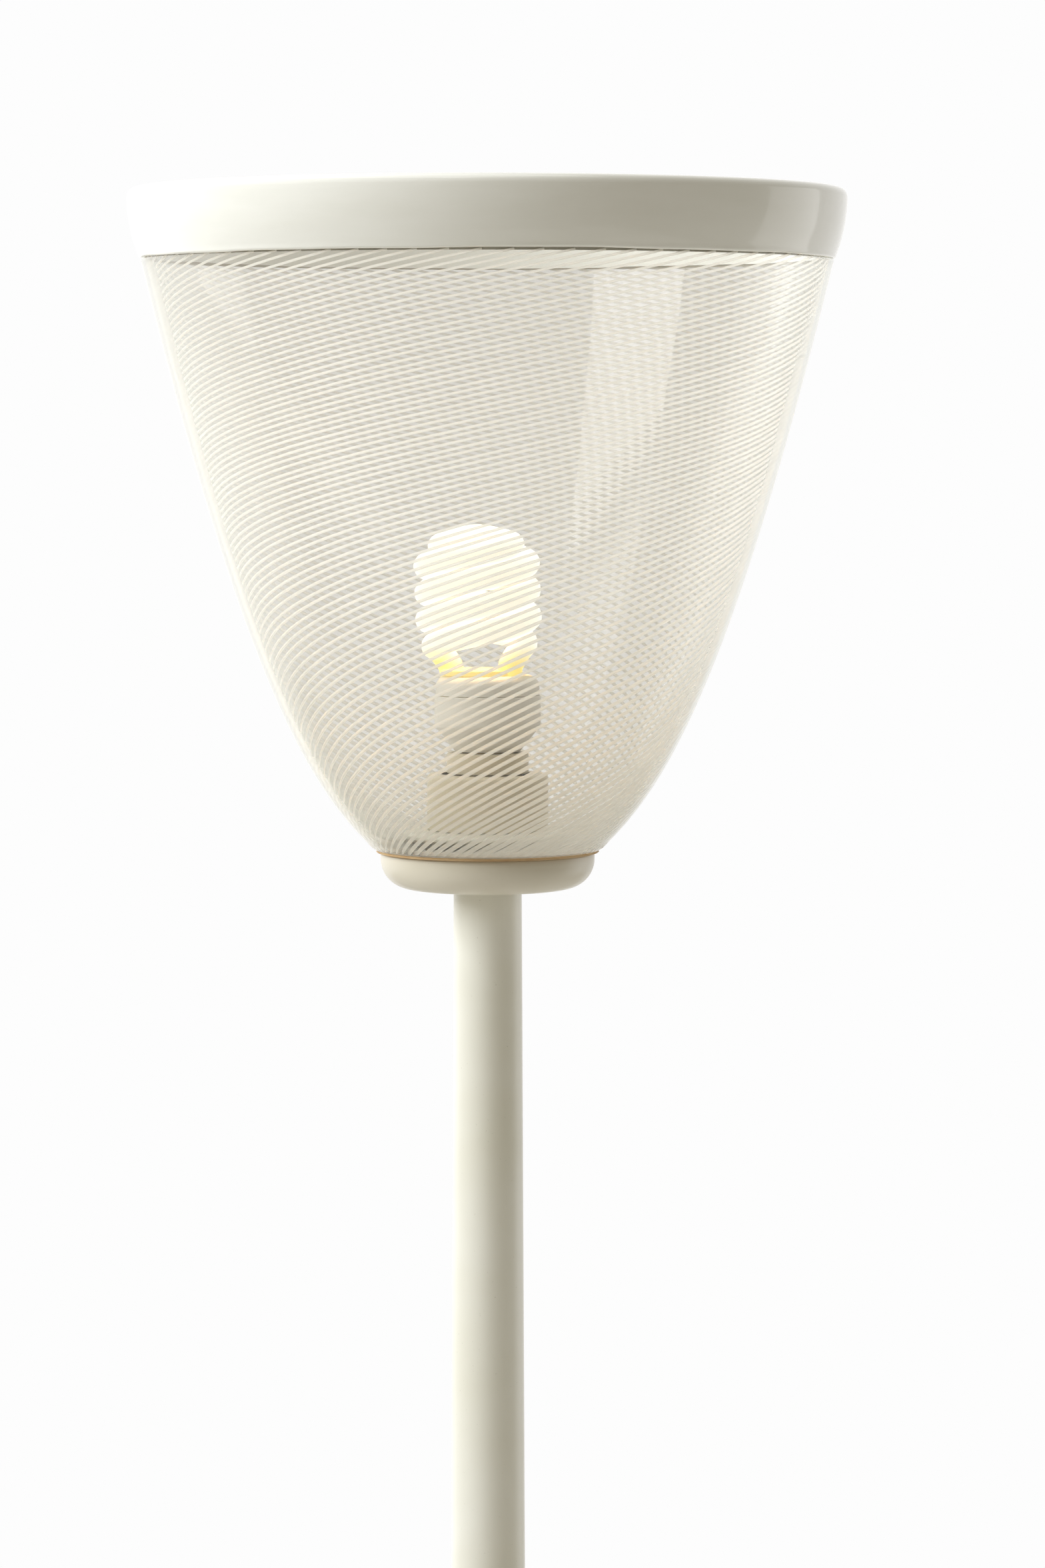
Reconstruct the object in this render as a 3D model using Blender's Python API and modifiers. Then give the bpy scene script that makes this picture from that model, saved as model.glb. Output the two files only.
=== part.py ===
"""Torchiere floor lamp: a blown cane-glass bowl on a slim tapered stem with a weighted round base.

Metres, +Z up. The lamp's axis is the Z axis and it stands on z = 0.
Heights above the stem are measured from LIP, the level where the glass bowl meets its cup.
"""
import math

import bmesh
import bpy
from mathutils import Matrix, Vector

MM = 0.001
GAP = 0.3 * MM                  # clearance left between pieces that touch

# Overall heights
LIP = 1463.0 * MM               # glass bowl meets the cup
BASE_TOP = 36.0 * MM            # flat on the base cover that the stem stands on
CUP_DEPTH = 19.0 * MM           # cup, from its lip down to its flat underside

# Base
BASE_R = 160.0 * MM
WEIGHT_R = 150.0 * MM
FELT_THICK = 2.0 * MM
SHEET = 1.2 * MM                # spun steel of the base cover, the cup and the stem

# Stem and the threaded tubes inside it
STEM_TOP_R = 16.5 * MM
STEM_TAPER = 4.7 * MM           # radius gained per metre going down
NIPPLE_R = 5.0 * MM             # M10 threaded tube
NIPPLE_BORE_R = 4.0 * MM
NIPPLE_HOLE_R = NIPPLE_R + GAP
FLEX_R = 2.75 * MM
GLAND_Z = 8.8 * MM

# Cup and bowl
CUP_R = 51.8 * MM
CUP_CORNER_R = 14.0 * MM
GASKET_R = 53.9 * MM
BOWL_HEIGHT = 283.0 * MM        # clear cane glass, up to the white band
RIM_HEIGHT = 317.0 * MM
RIM_R = 172.3 * MM
BOWL_HOLE_R = 20.0 * MM
BOWL_FLOOR = 4.2 * MM           # thickness of the bowl's flat bottom
BOWL_WALL = 3.2 * MM
RIM_WALL = 5.0 * MM

# Lampholder and bulb (E27), heights above LIP
DISC_R = 41.0 * MM
DISC_TOP = 9.2 * MM
SKIRT_R = 29.3 * MM
SKIRT_TOP = 36.3 * MM
RING_R = 19.75 * MM
HOLDER_TOP = 46.6 * MM
BULB_BASE_Z = 47.0 * MM
BULB_BASE_R = 25.7 * MM
BULB_SEAM_Z = 74.5 * MM
BULB_PLATE_Z = 84.0 * MM
TUBE_R = 6.0 * MM
HELIX_R = 24.75 * MM
LEG_R = 16.1 * MM               # distance of the two tube ends from the axis
HELIX_TOP = 151.4 * MM
HELIX_BOTTOM = 97.0 * MM
HELIX_TURNS = 2.1               # turns of each of the two arms
ARM_ANGLE = math.radians(-20)   # where the first arm leaves the housing
HELIX_LEAN = math.radians(-2.0)  # the glass spiral is cemented a little askew
HELIX_SHIFT = -3.4 * MM
LEG_SHIFT = -1.2 * MM
TUBE_FOOT_Z = 78.0 * MM         # the two tube ends, inside the housing


# ---------------------------------------------------------------- tools

def collection(name):
    made = bpy.data.collections.new(name)
    bpy.context.scene.collection.children.link(made)
    return made


def material(name, colour, roughness, metallic=0.0, alpha=1.0):
    made = bpy.data.materials.new(name)
    made.use_nodes = True
    shader = made.node_tree.nodes["Principled BSDF"]
    shader.inputs["Base Color"].default_value = (*colour, 1.0)
    shader.inputs["Roughness"].default_value = roughness
    shader.inputs["Metallic"].default_value = metallic
    shader.inputs["Alpha"].default_value = alpha
    made.diffuse_color = (*colour, alpha)
    return made


def keep(name, data, finish, group):
    """Put a mesh or curve in the scene as a named object with its material."""
    made = bpy.data.objects.new(name, data)
    group.objects.link(made)
    data.materials.append(finish)
    return made


def turned(name, outline, finish, sides=28):
    """Turn an outline of (radius, height) points about Z.

    The outline runs down its outer side. One that starts and ends on the axis makes a solid
    piece; any other is closed into a ring.
    """
    on_axis = outline[0][0] == 0.0 and outline[-1][0] == 0.0
    points = [(radius, 0.0, height) for radius, height in outline]
    edges = [(i, i + 1) for i in range(len(points) - 1)]
    if not on_axis:
        edges.append((len(points) - 1, 0))
    mesh = bpy.data.meshes.new(name)
    mesh.from_pydata(points, edges, [])
    made = keep(name, mesh, finish, PARTS)
    screw = made.modifiers.new("Turn", 'SCREW')
    screw.axis = 'Z'
    screw.angle = math.tau
    screw.steps = sides
    screw.render_steps = sides
    screw.use_merge_vertices = True
    screw.merge_threshold = 0.00002
    screw.use_smooth_shade = True
    return made


def tube_ring(name, inner, outer, low, high, finish, sides=28):
    outline = [(outer, high), (outer, low), (inner, low), (inner, high)]
    return turned(name, outline, finish, sides)


def wire(name, points, radius, finish, rounding=2):
    """A round wire or tube through the points, with filled ends."""
    curve = bpy.data.curves.new(name, 'CURVE')
    curve.dimensions = '3D'
    curve.bevel_depth = radius
    curve.bevel_resolution = rounding
    curve.use_fill_caps = True
    spline = curve.splines.new('POLY')
    spline.points.add(len(points) - 1)
    for point, place in zip(spline.points, points):
        point.co = (*place, 1.0)
    return keep(name, curve, finish, PARTS)


def solid(name, finish, build, group=None):
    """A mesh object filled by build(bm)."""
    mesh = bpy.data.meshes.new(name)
    bm = bmesh.new()
    build(bm)
    bmesh.ops.recalc_face_normals(bm, faces=bm.faces)
    bm.to_mesh(mesh)
    bm.free()
    return keep(name, mesh, finish, group or PARTS)


def add_cylinder(bm, centre, radius, length, sides=16, direction=(0, 0, 1)):
    turn = Vector((0, 0, 1)).rotation_difference(Vector(direction)).to_matrix().to_4x4()
    bmesh.ops.create_cone(bm, cap_ends=True, segments=sides, radius1=radius, radius2=radius,
                          depth=length, matrix=Matrix.Translation(centre) @ turn)


def add_box(bm, centre, size):
    place = Matrix.Translation(centre) @ Matrix.Diagonal((*size, 1.0))
    bmesh.ops.create_cube(bm, size=1.0, matrix=place)


def cut(piece, cutter):
    """Cut a piece with a hidden cutter."""
    cutter.hide_render = True
    cutter.display_type = 'WIRE'
    boolean = piece.modifiers.new("Cut " + cutter.name, 'BOOLEAN')
    boolean.operation = 'DIFFERENCE'
    boolean.solver = 'EXACT'
    boolean.object = cutter


def cutter(name, build):
    return solid(name, material("cutter", (1.0, 0.3, 0.3), 0.5), build, CUTTERS)


def arc(centre, radius, start, end, steps):
    """Points on an arc, angles in degrees counted from +X towards +Z."""
    points = []
    for i in range(steps + 1):
        angle = math.radians(start + (end - start) * i / steps)
        points.append((centre[0] + radius * math.cos(angle), centre[1] + radius * math.sin(angle)))
    return points


def bezier(a, b, c, d, steps):
    """Points on a cubic Bezier curve from a to d."""
    points = []
    for i in range(steps + 1):
        t = i / steps
        u = 1.0 - t
        weights = (u * u * u, 3 * u * u * t, 3 * u * t * t, t * t * t)
        points.append(tuple(sum(w * p[k] for w, p in zip(weights, (a, b, c, d))) for k in (0, 1)))
    return points


def raised(outline, base=LIP):
    """Move an outline up so that its zero is at base."""
    return [(radius, base + height) for radius, height in outline]


def mm(*pairs):
    """Outline points given in millimetres."""
    return [(radius * MM, height * MM) for radius, height in pairs]


def stem_radius(z):
    return STEM_TOP_R + STEM_TAPER * (LIP - CUP_DEPTH - z)


# ---------------------------------------------------------------- pieces

def build_base():
    # Felt pad under the cast-iron weight, with a window for the lock nut.
    tube_ring("base_felt", 45 * MM, 148 * MM, 0.0, FELT_THICK, FELT)

    # Cast-iron weight: a disc with a raised hub, a pocket for the nut, and a channel for the lead.
    low = FELT_THICK + GAP
    pocket_r = 30 * MM
    pocket_z = 22.6 * MM
    weight = turned("base_weight", [
        (NIPPLE_HOLE_R, 34 * MM), (42 * MM, 34 * MM), (52 * MM, 30 * MM), (146 * MM, 18 * MM),
        (WEIGHT_R, 14 * MM), (WEIGHT_R, low), (pocket_r, low), (pocket_r, pocket_z),
        (NIPPLE_HOLE_R, pocket_z)], IRON)
    channel_width = 10 * MM
    channel_top = 13 * MM
    channel_length = WEIGHT_R + 10 * MM - pocket_r / 2
    cut(weight, cutter("lead_channel", lambda bm: add_box(
        bm, (0, pocket_r / 2 + channel_length / 2, channel_top / 2),
        (channel_width, channel_length, channel_top))))

    # Spun steel cover, open below, with a hole in its skirt for the lead's gland.
    skirt_low = 3 * MM
    shoulder = arc((BASE_R - 6 * MM, 16 * MM), 6 * MM, 80, 0, 3)
    inner_shoulder = arc((BASE_R - 6 * MM, 16 * MM), 6 * MM - SHEET, 0, 80, 3)
    cover = turned("base_cover", [
        (NIPPLE_HOLE_R, BASE_TOP), (44 * MM, BASE_TOP), (54 * MM, BASE_TOP - 3 * MM), *shoulder,
        (BASE_R, skirt_low), (BASE_R - SHEET, skirt_low), *inner_shoulder,
        (53.7 * MM, BASE_TOP - 3 * MM - SHEET), (43.5 * MM, BASE_TOP - SHEET),
        (NIPPLE_HOLE_R, BASE_TOP - SHEET)], LACQUER, 40)
    gland_hole_r = 4.2 * MM
    cut(cover, cutter("gland_hole", lambda bm: add_cylinder(
        bm, (0, BASE_R, GLAND_Z), gland_hole_r, 20 * MM, 16, (0, 1, 0))))

    # Gland: a flanged plastic bush that the lead passes through, at the back of the base.
    flange = 2.0 * MM
    gland = turned("cord_gland", [
        (3.1 * MM, flange), (4.6 * MM, flange), (5.2 * MM, flange - 0.6 * MM), (5.2 * MM, 0.0),
        (3.9 * MM, 0.0), (3.9 * MM, -5 * MM), (3.1 * MM, -5 * MM)], BLACK_PLASTIC, 16)
    gland.location = (0, BASE_R + GAP, GLAND_Z)
    gland.rotation_euler = (math.radians(-90), 0, 0)

    # Washer and nut that pull the weight up against the cover.
    tube_ring("base_washer", NIPPLE_HOLE_R, 13 * MM, 20.8 * MM, 22.3 * MM, ZINC, 20)
    hex_nut("base_lock_nut", 15.5 * MM, 20.5 * MM, ZINC)
    tube_ring("base_nipple", NIPPLE_BORE_R, NIPPLE_R, 15.0 * MM, BASE_TOP + 26 * MM, ZINC, 16)


def hex_nut(name, low, high, finish):
    """A hexagon nut for the threaded tube: 14 mm across its flats."""
    across_corners = 14 * MM / math.cos(math.radians(30))
    nut = solid(name, finish, lambda bm: add_cylinder(
        bm, (0, 0, (low + high) / 2), across_corners / 2, high - low, 6))
    cut(nut, cutter(name + "_thread", lambda bm: add_cylinder(
        bm, (0, 0, (low + high) / 2), NIPPLE_HOLE_R, 2 * (high - low), 16)))


def build_stem():
    foot = BASE_TOP + GAP
    top = LIP - CUP_DEPTH - GAP
    foot_r = stem_radius(foot)
    collar_height = 9 * MM

    # Turned collar that covers the joint of stem and base.
    collar_in = foot_r + GAP
    turned("foot_collar", [
        (collar_in, foot + collar_height), (collar_in + 2.2 * MM, foot + collar_height),
        (collar_in + 4 * MM, foot + collar_height - 1.8 * MM), (collar_in + 5 * MM, foot),
        (collar_in, foot)], LACQUER)

    # Tapered steel tube.
    turned("stem_tube", [
        (stem_radius(top), top), (foot_r, foot), (foot_r - SHEET, foot),
        (stem_radius(top) - SHEET, top)], LACQUER)

    # Steel bushes brazed into the tube's ends, bored for the threaded tubes.
    for name, low, high in (("foot_bush", foot, foot + 28 * MM), ("neck_bush", top - 28 * MM, top)):
        turned(name, [
            (NIPPLE_HOLE_R, high), (stem_radius(high) - SHEET - GAP, high),
            (stem_radius(low) - SHEET - GAP, low), (NIPPLE_HOLE_R, low)], ZINC, 20)
    tube_ring("neck_nipple", NIPPLE_BORE_R, NIPPLE_R, top - 32 * MM, LIP + 16.8 * MM, ZINC, 16)


def build_lead():
    """Two-core lead, from the gland through the base and up the stem to the lampholder."""
    channel_y = BASE_R - 6 * MM
    bend = 12 * MM
    run_z = 6.6 * MM
    points = [(0, channel_y, GLAND_Z), (0, channel_y - 15 * MM, GLAND_Z)]
    for i in range(1, 5):
        share = i / 5
        points.append((0, channel_y - 15 * MM - 60 * MM * share,
                       GLAND_Z + (run_z - GLAND_Z) * (1 - math.cos(math.pi * share)) / 2))
    points.append((0, bend + 30 * MM, run_z))
    for angle in range(0, 91, 15):
        turn = math.radians(angle)
        points.append((0, bend - bend * math.sin(turn), run_z + bend - bend * math.cos(turn)))
    top = LIP + 10 * MM
    straight = points[-1][2]
    for i in range(1, 9):
        points.append((0, 0, straight + (top - straight) * i / 8))
    wire("lead_sheath", points, FLEX_R, BLACK_PLASTIC)

    core_r = 1.1 * MM
    for name, side, finish in (("lead_core_live", -1, BROWN), ("lead_core_neutral", 1, BLUE)):
        wire(name, [
            (side * 1.5 * MM, 0, LIP + 10.4 * MM), (side * 1.5 * MM, 0, LIP + 15.5 * MM),
            (side * 1.9 * MM, 0, LIP + 17.6 * MM), (side * 3.2 * MM, 0, LIP + 18.6 * MM),
            (side * 6.3 * MM, 0, LIP + 18.7 * MM)], core_r, finish)


def build_cup():
    corner = (CUP_R - CUP_CORNER_R, -CUP_DEPTH + CUP_CORNER_R)
    lip = -1.9 * MM
    turned("shade_cup", raised([
        (CUP_R - SHEET, lip), (CUP_R, lip),
        *arc(corner, CUP_CORNER_R, 0, -90, 5),
        (NIPPLE_HOLE_R, -CUP_DEPTH), (NIPPLE_HOLE_R, -CUP_DEPTH + SHEET),
        *arc(corner, CUP_CORNER_R - SHEET, -90, 0, 5)]), LACQUER)
    tube_ring("cup_gasket", 48.5 * MM, GASKET_R, LIP - 1.6 * MM, LIP - 0.5 * MM, CORK)


def bowl_line():
    """Outside of the bowl, from the white band down to its flat bottom."""
    side = bezier((166.0 * MM, BOWL_HEIGHT), (119.66 * MM, 90 * MM), (88.26 * MM, 30.9 * MM),
                  (56.1 * MM, 1.1 * MM), 9)
    return side


def build_bowl():
    outside = bowl_line()
    inside = []
    for i, (radius, height) in enumerate(outside):
        before = outside[max(i - 1, 0)]
        after = outside[min(i + 1, len(outside) - 1)]
        along = Vector((after[0] - before[0], after[1] - before[1])).normalized()
        thick = BOWL_WALL + 1.0 * MM * (i / len(outside)) ** 2
        inside.append((radius + thick * along.y, height - thick * along.x))
    inside = [point for point in inside if point[1] > BOWL_FLOOR + 2.5 * MM]
    inside[0] = (inside[0][0], BOWL_HEIGHT)
    bottom = -0.2 * MM
    turned("shade_bowl", raised([
        *outside, (54.6 * MM, bottom), (BOWL_HOLE_R, bottom), (BOWL_HOLE_R, bottom + BOWL_FLOOR),
        (46 * MM, bottom + BOWL_FLOOR), (51.5 * MM, bottom + BOWL_FLOOR + 1.2 * MM),
        *reversed(inside)]), GLASS, 36)

    lip_r = 4.3 * MM
    low = BOWL_HEIGHT + GAP
    lip_centre = (RIM_R - lip_r, RIM_HEIGHT - lip_r)
    turned("shade_rim", raised([
        *arc(lip_centre, lip_r, 180, 0, 4), (RIM_R - 0.3 * MM, 303 * MM),
        (169.3 * MM, 291 * MM), (166.2 * MM, low), (166.2 * MM - RIM_WALL, low),
        (163.2 * MM, 299 * MM)]), WHITE_GLASS, 36)


def build_clamp():
    """The disc that holds the bowl down, and its nut."""
    tube_ring("clamp_gasket", 24 * MM, 39 * MM, LIP + 4.3 * MM, LIP + 5.3 * MM, RUBBER)
    turned("clamp_disc", raised([
        (NIPPLE_HOLE_R, DISC_TOP), *mm((33, 9.2), (38.5, 8.8), (40.4, 7.9)),
        (DISC_R, 6.8 * MM), (DISC_R, 5.6 * MM), (DISC_R - SHEET, 5.6 * MM),
        *mm((39.3, 6.9), (37.9, 7.6), (33, 7.9)), (NIPPLE_HOLE_R, 7.9 * MM)]), LACQUER)
    hex_nut("clamp_nut", LIP + 9.5 * MM, LIP + 14.0 * MM, ZINC)


def build_lampholder():
    low = DISC_TOP + GAP
    wall = 2.0 * MM
    corner_r = 2.5 * MM
    corner = (SKIRT_R - corner_r, SKIRT_TOP - corner_r)
    body_r = 16.8 * MM
    turned("holder_skirt", raised([
        (body_r + 2 * GAP, SKIRT_TOP), *arc(corner, corner_r, 90, 0, 3), (SKIRT_R, low),
        (SKIRT_R - wall, low), (SKIRT_R - wall, SKIRT_TOP - wall),
        (body_r + 2 * GAP, SKIRT_TOP - wall)]), BEIGE_PLASTIC)

    # Holder body: a moulded barrel with a flange under the skirt's top and a threaded bottom.
    flange_top = SKIRT_TOP - wall - GAP
    flange_r = 19.5 * MM
    bore_r = 14.3 * MM
    floor_low = 14.3 * MM
    floor_top = 17.2 * MM
    turned("holder_body", raised([
        (bore_r, HOLDER_TOP), (body_r, HOLDER_TOP), (body_r, flange_top), (flange_r, flange_top),
        (flange_r, flange_top - 3 * MM), (body_r, flange_top - 4 * MM), (body_r, floor_low),
        (NIPPLE_HOLE_R, floor_low), (NIPPLE_HOLE_R, floor_top), (bore_r, floor_top)]),
        BEIGE_PLASTIC)
    ring_in = body_r + GAP
    turned("holder_ring", raised([
        (ring_in, HOLDER_TOP), (RING_R - 1 * MM, HOLDER_TOP), (RING_R, HOLDER_TOP - 1 * MM),
        (RING_R, SKIRT_TOP + GAP), (ring_in, SKIRT_TOP + GAP)]), BEIGE_PLASTIC)

    # Brass screw shell, ceramic plate, spring contact and the two terminals under the plate.
    tube_ring("holder_screw_shell", 13.6 * MM, 14.0 * MM, LIP + 22.9 * MM, LIP + 45.5 * MM, BRASS, 24)
    tube_ring("holder_plate", 1.5 * MM, 13.9 * MM, LIP + 20.4 * MM, LIP + 22.2 * MM, CERAMIC, 20)
    solid("holder_contact", BRASS, lambda bm: add_box(
        bm, (1 * MM, 0, LIP + 22.75 * MM), (12 * MM, 4 * MM, 0.4 * MM)))

    for name, side in (("terminal_live", -1), ("terminal_neutral", 1)):
        solid(name, BRASS, lambda bm, x=side * 9.3 * MM: add_box(
            bm, (x, 0, LIP + 18.9 * MM), (5 * MM, 5 * MM, 2.4 * MM)))


def lean(point, shift):
    """Place a point of the straight spiral on its slightly leaning axis."""
    pivot = Vector((0, 0, LIP + BULB_PLATE_Z))
    moved = Matrix.Rotation(HELIX_LEAN, 3, 'Y') @ (Vector(point) - pivot)
    return moved + pivot + Vector((shift, 0, 0))


def helix_radius(share):
    """Radius of the spiral: narrower in its first turn, and closing over the top."""
    opening = max(0.0, 1 - share / 0.25)
    closing = max(0.0, (share - 0.72) / 0.28)
    return (HELIX_R - 3.2 * MM * opening ** 2) * math.sqrt(max(0.0, 1 - closing ** 2))


def spiral_points():
    """Centre line of the glass tube: up one arm, over the top, and down the other."""
    rise = HELIX_TOP - HELIX_BOTTOM
    per_turn = 14
    steps = round(HELIX_TURNS * per_turn)
    half_way = (LEG_SHIFT + HELIX_SHIFT) / 2
    arm = [(LEG_R, -0.2, TUBE_FOOT_Z, LEG_SHIFT), (LEG_R, -0.2, BULB_PLATE_Z + 2.5 * MM, LEG_SHIFT),
           (LEG_R + 2.4 * MM, -0.2, BULB_PLATE_Z + 7 * MM, half_way)]
    for i in range(steps):
        share = i / steps
        angle = math.tau * HELIX_TURNS * share
        arm.append((helix_radius(share), angle, HELIX_BOTTOM + rise * share, HELIX_SHIFT))
    points = []
    for way in (1, -1):
        side = []
        for radius, angle, height, shift in arm:
            turn = ARM_ANGLE + angle
            place = (way * radius * math.cos(turn), way * radius * math.sin(turn), LIP + height)
            side.append(lean(place, shift))
        points.append(side)
    top = [lean((0, 0, LIP + HELIX_TOP), HELIX_SHIFT)]
    return points[0] + top + points[1][::-1]


def build_bulb():
    """Compact fluorescent bulb: screw cap, two-part plastic housing, ballast and glass spiral."""
    cap_r = 13.1 * MM
    cap_wall = 0.4 * MM
    turned("bulb_cap_shell", raised([
        (cap_r, 46.7 * MM), (cap_r, 30 * MM), (11 * MM, 28.2 * MM), (11 * MM - cap_wall, 28.5 * MM),
        (cap_r - cap_wall, 30.2 * MM), (cap_r - cap_wall, 46.7 * MM)]), BRASS, 24)
    turned("bulb_cap_insulator", raised([
        (0.0, 30.0 * MM), (8 * MM, 30.0 * MM), (10.2 * MM, 27.9 * MM), (5.2 * MM, 24.6 * MM),
        (0.0, 24.6 * MM)]), BLACK_PLASTIC, 16)
    turned("bulb_tip_contact", raised([
        (0.0, 24.3 * MM), (4.6 * MM, 24.3 * MM), (3.6 * MM, 23.6 * MM), (0.0, 23.3 * MM)]), ZINC, 16)

    wall = 1.5 * MM
    neck_r = 15.6 * MM
    waist = (18.5 * MM, 50.5 * MM)
    shoulder_z = 59.5 * MM
    turned("bulb_housing_lower", raised([
        (BULB_BASE_R, BULB_SEAM_Z - GAP), (BULB_BASE_R, shoulder_z), waist,
        (neck_r, BULB_BASE_Z), (11.5 * MM, BULB_BASE_Z), (11.5 * MM, BULB_BASE_Z + wall),
        (neck_r - wall, BULB_BASE_Z + wall), (waist[0] - wall, waist[1] + 1 * MM),
        (BULB_BASE_R - wall, shoulder_z + 0.7 * MM), (BULB_BASE_R - wall, BULB_SEAM_Z - GAP)]),
        WHITE_PLASTIC)

    corner_r = 2.5 * MM
    upper_r = BULB_BASE_R - 0.6 * MM
    corner = (upper_r - corner_r, BULB_PLATE_Z - corner_r)
    upper = turned("bulb_housing_upper", raised([
        (0.0, BULB_PLATE_Z), *arc(corner, corner_r, 90, 0, 3), (upper_r, BULB_SEAM_Z),
        (upper_r - wall, BULB_SEAM_Z), (upper_r - wall, BULB_PLATE_Z - wall),
        (0.0, BULB_PLATE_Z - wall)]), WHITE_PLASTIC)
    path = spiral_points()
    for name, end, inner in (("tube_hole_a", 0, 1), ("tube_hole_b", -1, -2)):
        direction = path[inner] - path[end]
        middle = path[end] + direction * 0.7
        cut(upper, cutter(name, lambda bm, m=middle, d=direction: add_cylinder(
            bm, m, TUBE_R + 0.5 * MM, 9 * MM, 16, d)))
    wire("bulb_spiral", path, TUBE_R, LAMP_GLASS)

    # Ballast inside the housing: circuit board, choke and capacitor.
    turned("ballast_board", raised([
        (0.0, 71.0 * MM), (22.5 * MM, 71.0 * MM), (22.5 * MM, 69.4 * MM), (0.0, 69.4 * MM)]), BOARD, 20)
    solid("ballast_choke", FERRITE, lambda bm: add_box(
        bm, (-7 * MM, 0, LIP + 63.5 * MM), (11 * MM, 13 * MM, 11 * MM)))
    solid("ballast_capacitor", BLACK_PLASTIC, lambda bm: add_cylinder(
        bm, (8 * MM, 0, LIP + 60.0 * MM), 5 * MM, 18 * MM, 12))


# ---------------------------------------------------------------- scene

for old in list(bpy.data.objects):
    bpy.data.objects.remove(old, do_unlink=True)

PARTS = collection("torchiere_floor_lamp")
CUTTERS = collection("cutters")

LACQUER = material("cream_lacquer", (0.78, 0.76, 0.66), 0.35)
GLASS = material("cane_glass", (0.93, 0.92, 0.88), 0.05, alpha=0.4)
WHITE_GLASS = material("white_glass", (0.90, 0.89, 0.85), 0.12)
BEIGE_PLASTIC = material("beige_plastic", (0.74, 0.70, 0.58), 0.45)
WHITE_PLASTIC = material("white_plastic", (0.74, 0.74, 0.72), 0.4)
BLACK_PLASTIC = material("black_plastic", (0.03, 0.03, 0.03), 0.5)
LAMP_GLASS = material("phosphor_glass", (0.96, 0.95, 0.90), 0.2)
CORK = material("cork", (0.36, 0.24, 0.13), 0.9)
RUBBER = material("grey_rubber", (0.25, 0.25, 0.24), 0.8)
FELT = material("green_felt", (0.05, 0.09, 0.06), 0.95)
IRON = material("cast_iron", (0.12, 0.12, 0.12), 0.7, 0.6)
ZINC = material("zinc_plated_steel", (0.62, 0.62, 0.60), 0.35, 1.0)
BRASS = material("brass", (0.78, 0.60, 0.28), 0.3, 1.0)
CERAMIC = material("steatite", (0.85, 0.83, 0.78), 0.5)
BOARD = material("circuit_board", (0.35, 0.28, 0.12), 0.6)
FERRITE = material("ferrite", (0.08, 0.08, 0.09), 0.6)
BROWN = material("brown_insulation", (0.20, 0.09, 0.04), 0.5)
BLUE = material("blue_insulation", (0.05, 0.15, 0.45), 0.5)

build_base()
build_stem()
build_lead()
build_cup()
build_bowl()
build_clamp()
build_lampholder()
build_bulb()
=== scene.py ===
"""Torchiere floor lamp: the finished look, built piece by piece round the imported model."""
import math

import bmesh
import bpy
from mathutils import Matrix, Vector


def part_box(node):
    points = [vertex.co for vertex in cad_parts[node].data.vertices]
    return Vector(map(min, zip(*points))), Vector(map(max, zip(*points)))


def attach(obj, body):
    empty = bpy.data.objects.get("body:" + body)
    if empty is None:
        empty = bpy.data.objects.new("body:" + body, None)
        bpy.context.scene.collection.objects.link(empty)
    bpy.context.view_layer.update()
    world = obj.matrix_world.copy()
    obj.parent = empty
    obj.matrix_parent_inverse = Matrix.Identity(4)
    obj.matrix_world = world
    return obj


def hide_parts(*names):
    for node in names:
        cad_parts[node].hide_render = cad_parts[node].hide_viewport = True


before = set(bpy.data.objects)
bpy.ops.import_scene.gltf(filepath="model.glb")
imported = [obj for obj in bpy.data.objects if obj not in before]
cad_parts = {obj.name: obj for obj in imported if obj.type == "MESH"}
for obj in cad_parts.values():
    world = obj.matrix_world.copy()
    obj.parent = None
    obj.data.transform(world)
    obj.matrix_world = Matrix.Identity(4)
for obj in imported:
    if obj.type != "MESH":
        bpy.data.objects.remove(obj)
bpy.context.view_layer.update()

MM = 0.001
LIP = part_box("shade_bowl")[0].z + 0.2 * MM  # level of the bowl's seat in its cup


# ---------------------------------------------------------------- studio
# A pale floor in a white studio. The light falls from high on the left and from the white wall
# behind, so that the right front of every round piece goes grey. A weak fill stands on the right.

def linear(hex_colour):
    """A colour written as sRGB hex, as linear light."""
    parts = [int(hex_colour[i:i + 2], 16) / 255 for i in (1, 3, 5)]
    return (*[p / 12.92 if p <= 0.04045 else ((p + 0.055) / 1.055) ** 2.4 for p in parts], 1.0)


def add(tree, kind, inputs=None, **settings):
    """Add a node with its settings; an input is given a value or the output that feeds it."""
    made = tree.nodes.new(kind)
    for name, value in settings.items():
        setattr(made, name, value)
    for socket, value in (inputs or {}).items():
        if isinstance(value, bpy.types.NodeSocket):
            tree.links.new(value, made.inputs[socket])
        else:
            made.inputs[socket].default_value = value
    return made


camera = bpy.data.objects.new("camera", bpy.data.cameras.new("camera"))
bpy.context.scene.collection.objects.link(camera)
camera.location = (16.86 * MM, -2350 * MM, LIP + 214 * MM)
camera.rotation_euler = (math.radians(90 - 4.45), 0, 0)
camera.data.lens = 111.9
camera.data.sensor_width = 36
bpy.context.scene.camera = camera
bpy.context.scene.view_settings.view_transform = 'Standard'

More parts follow.
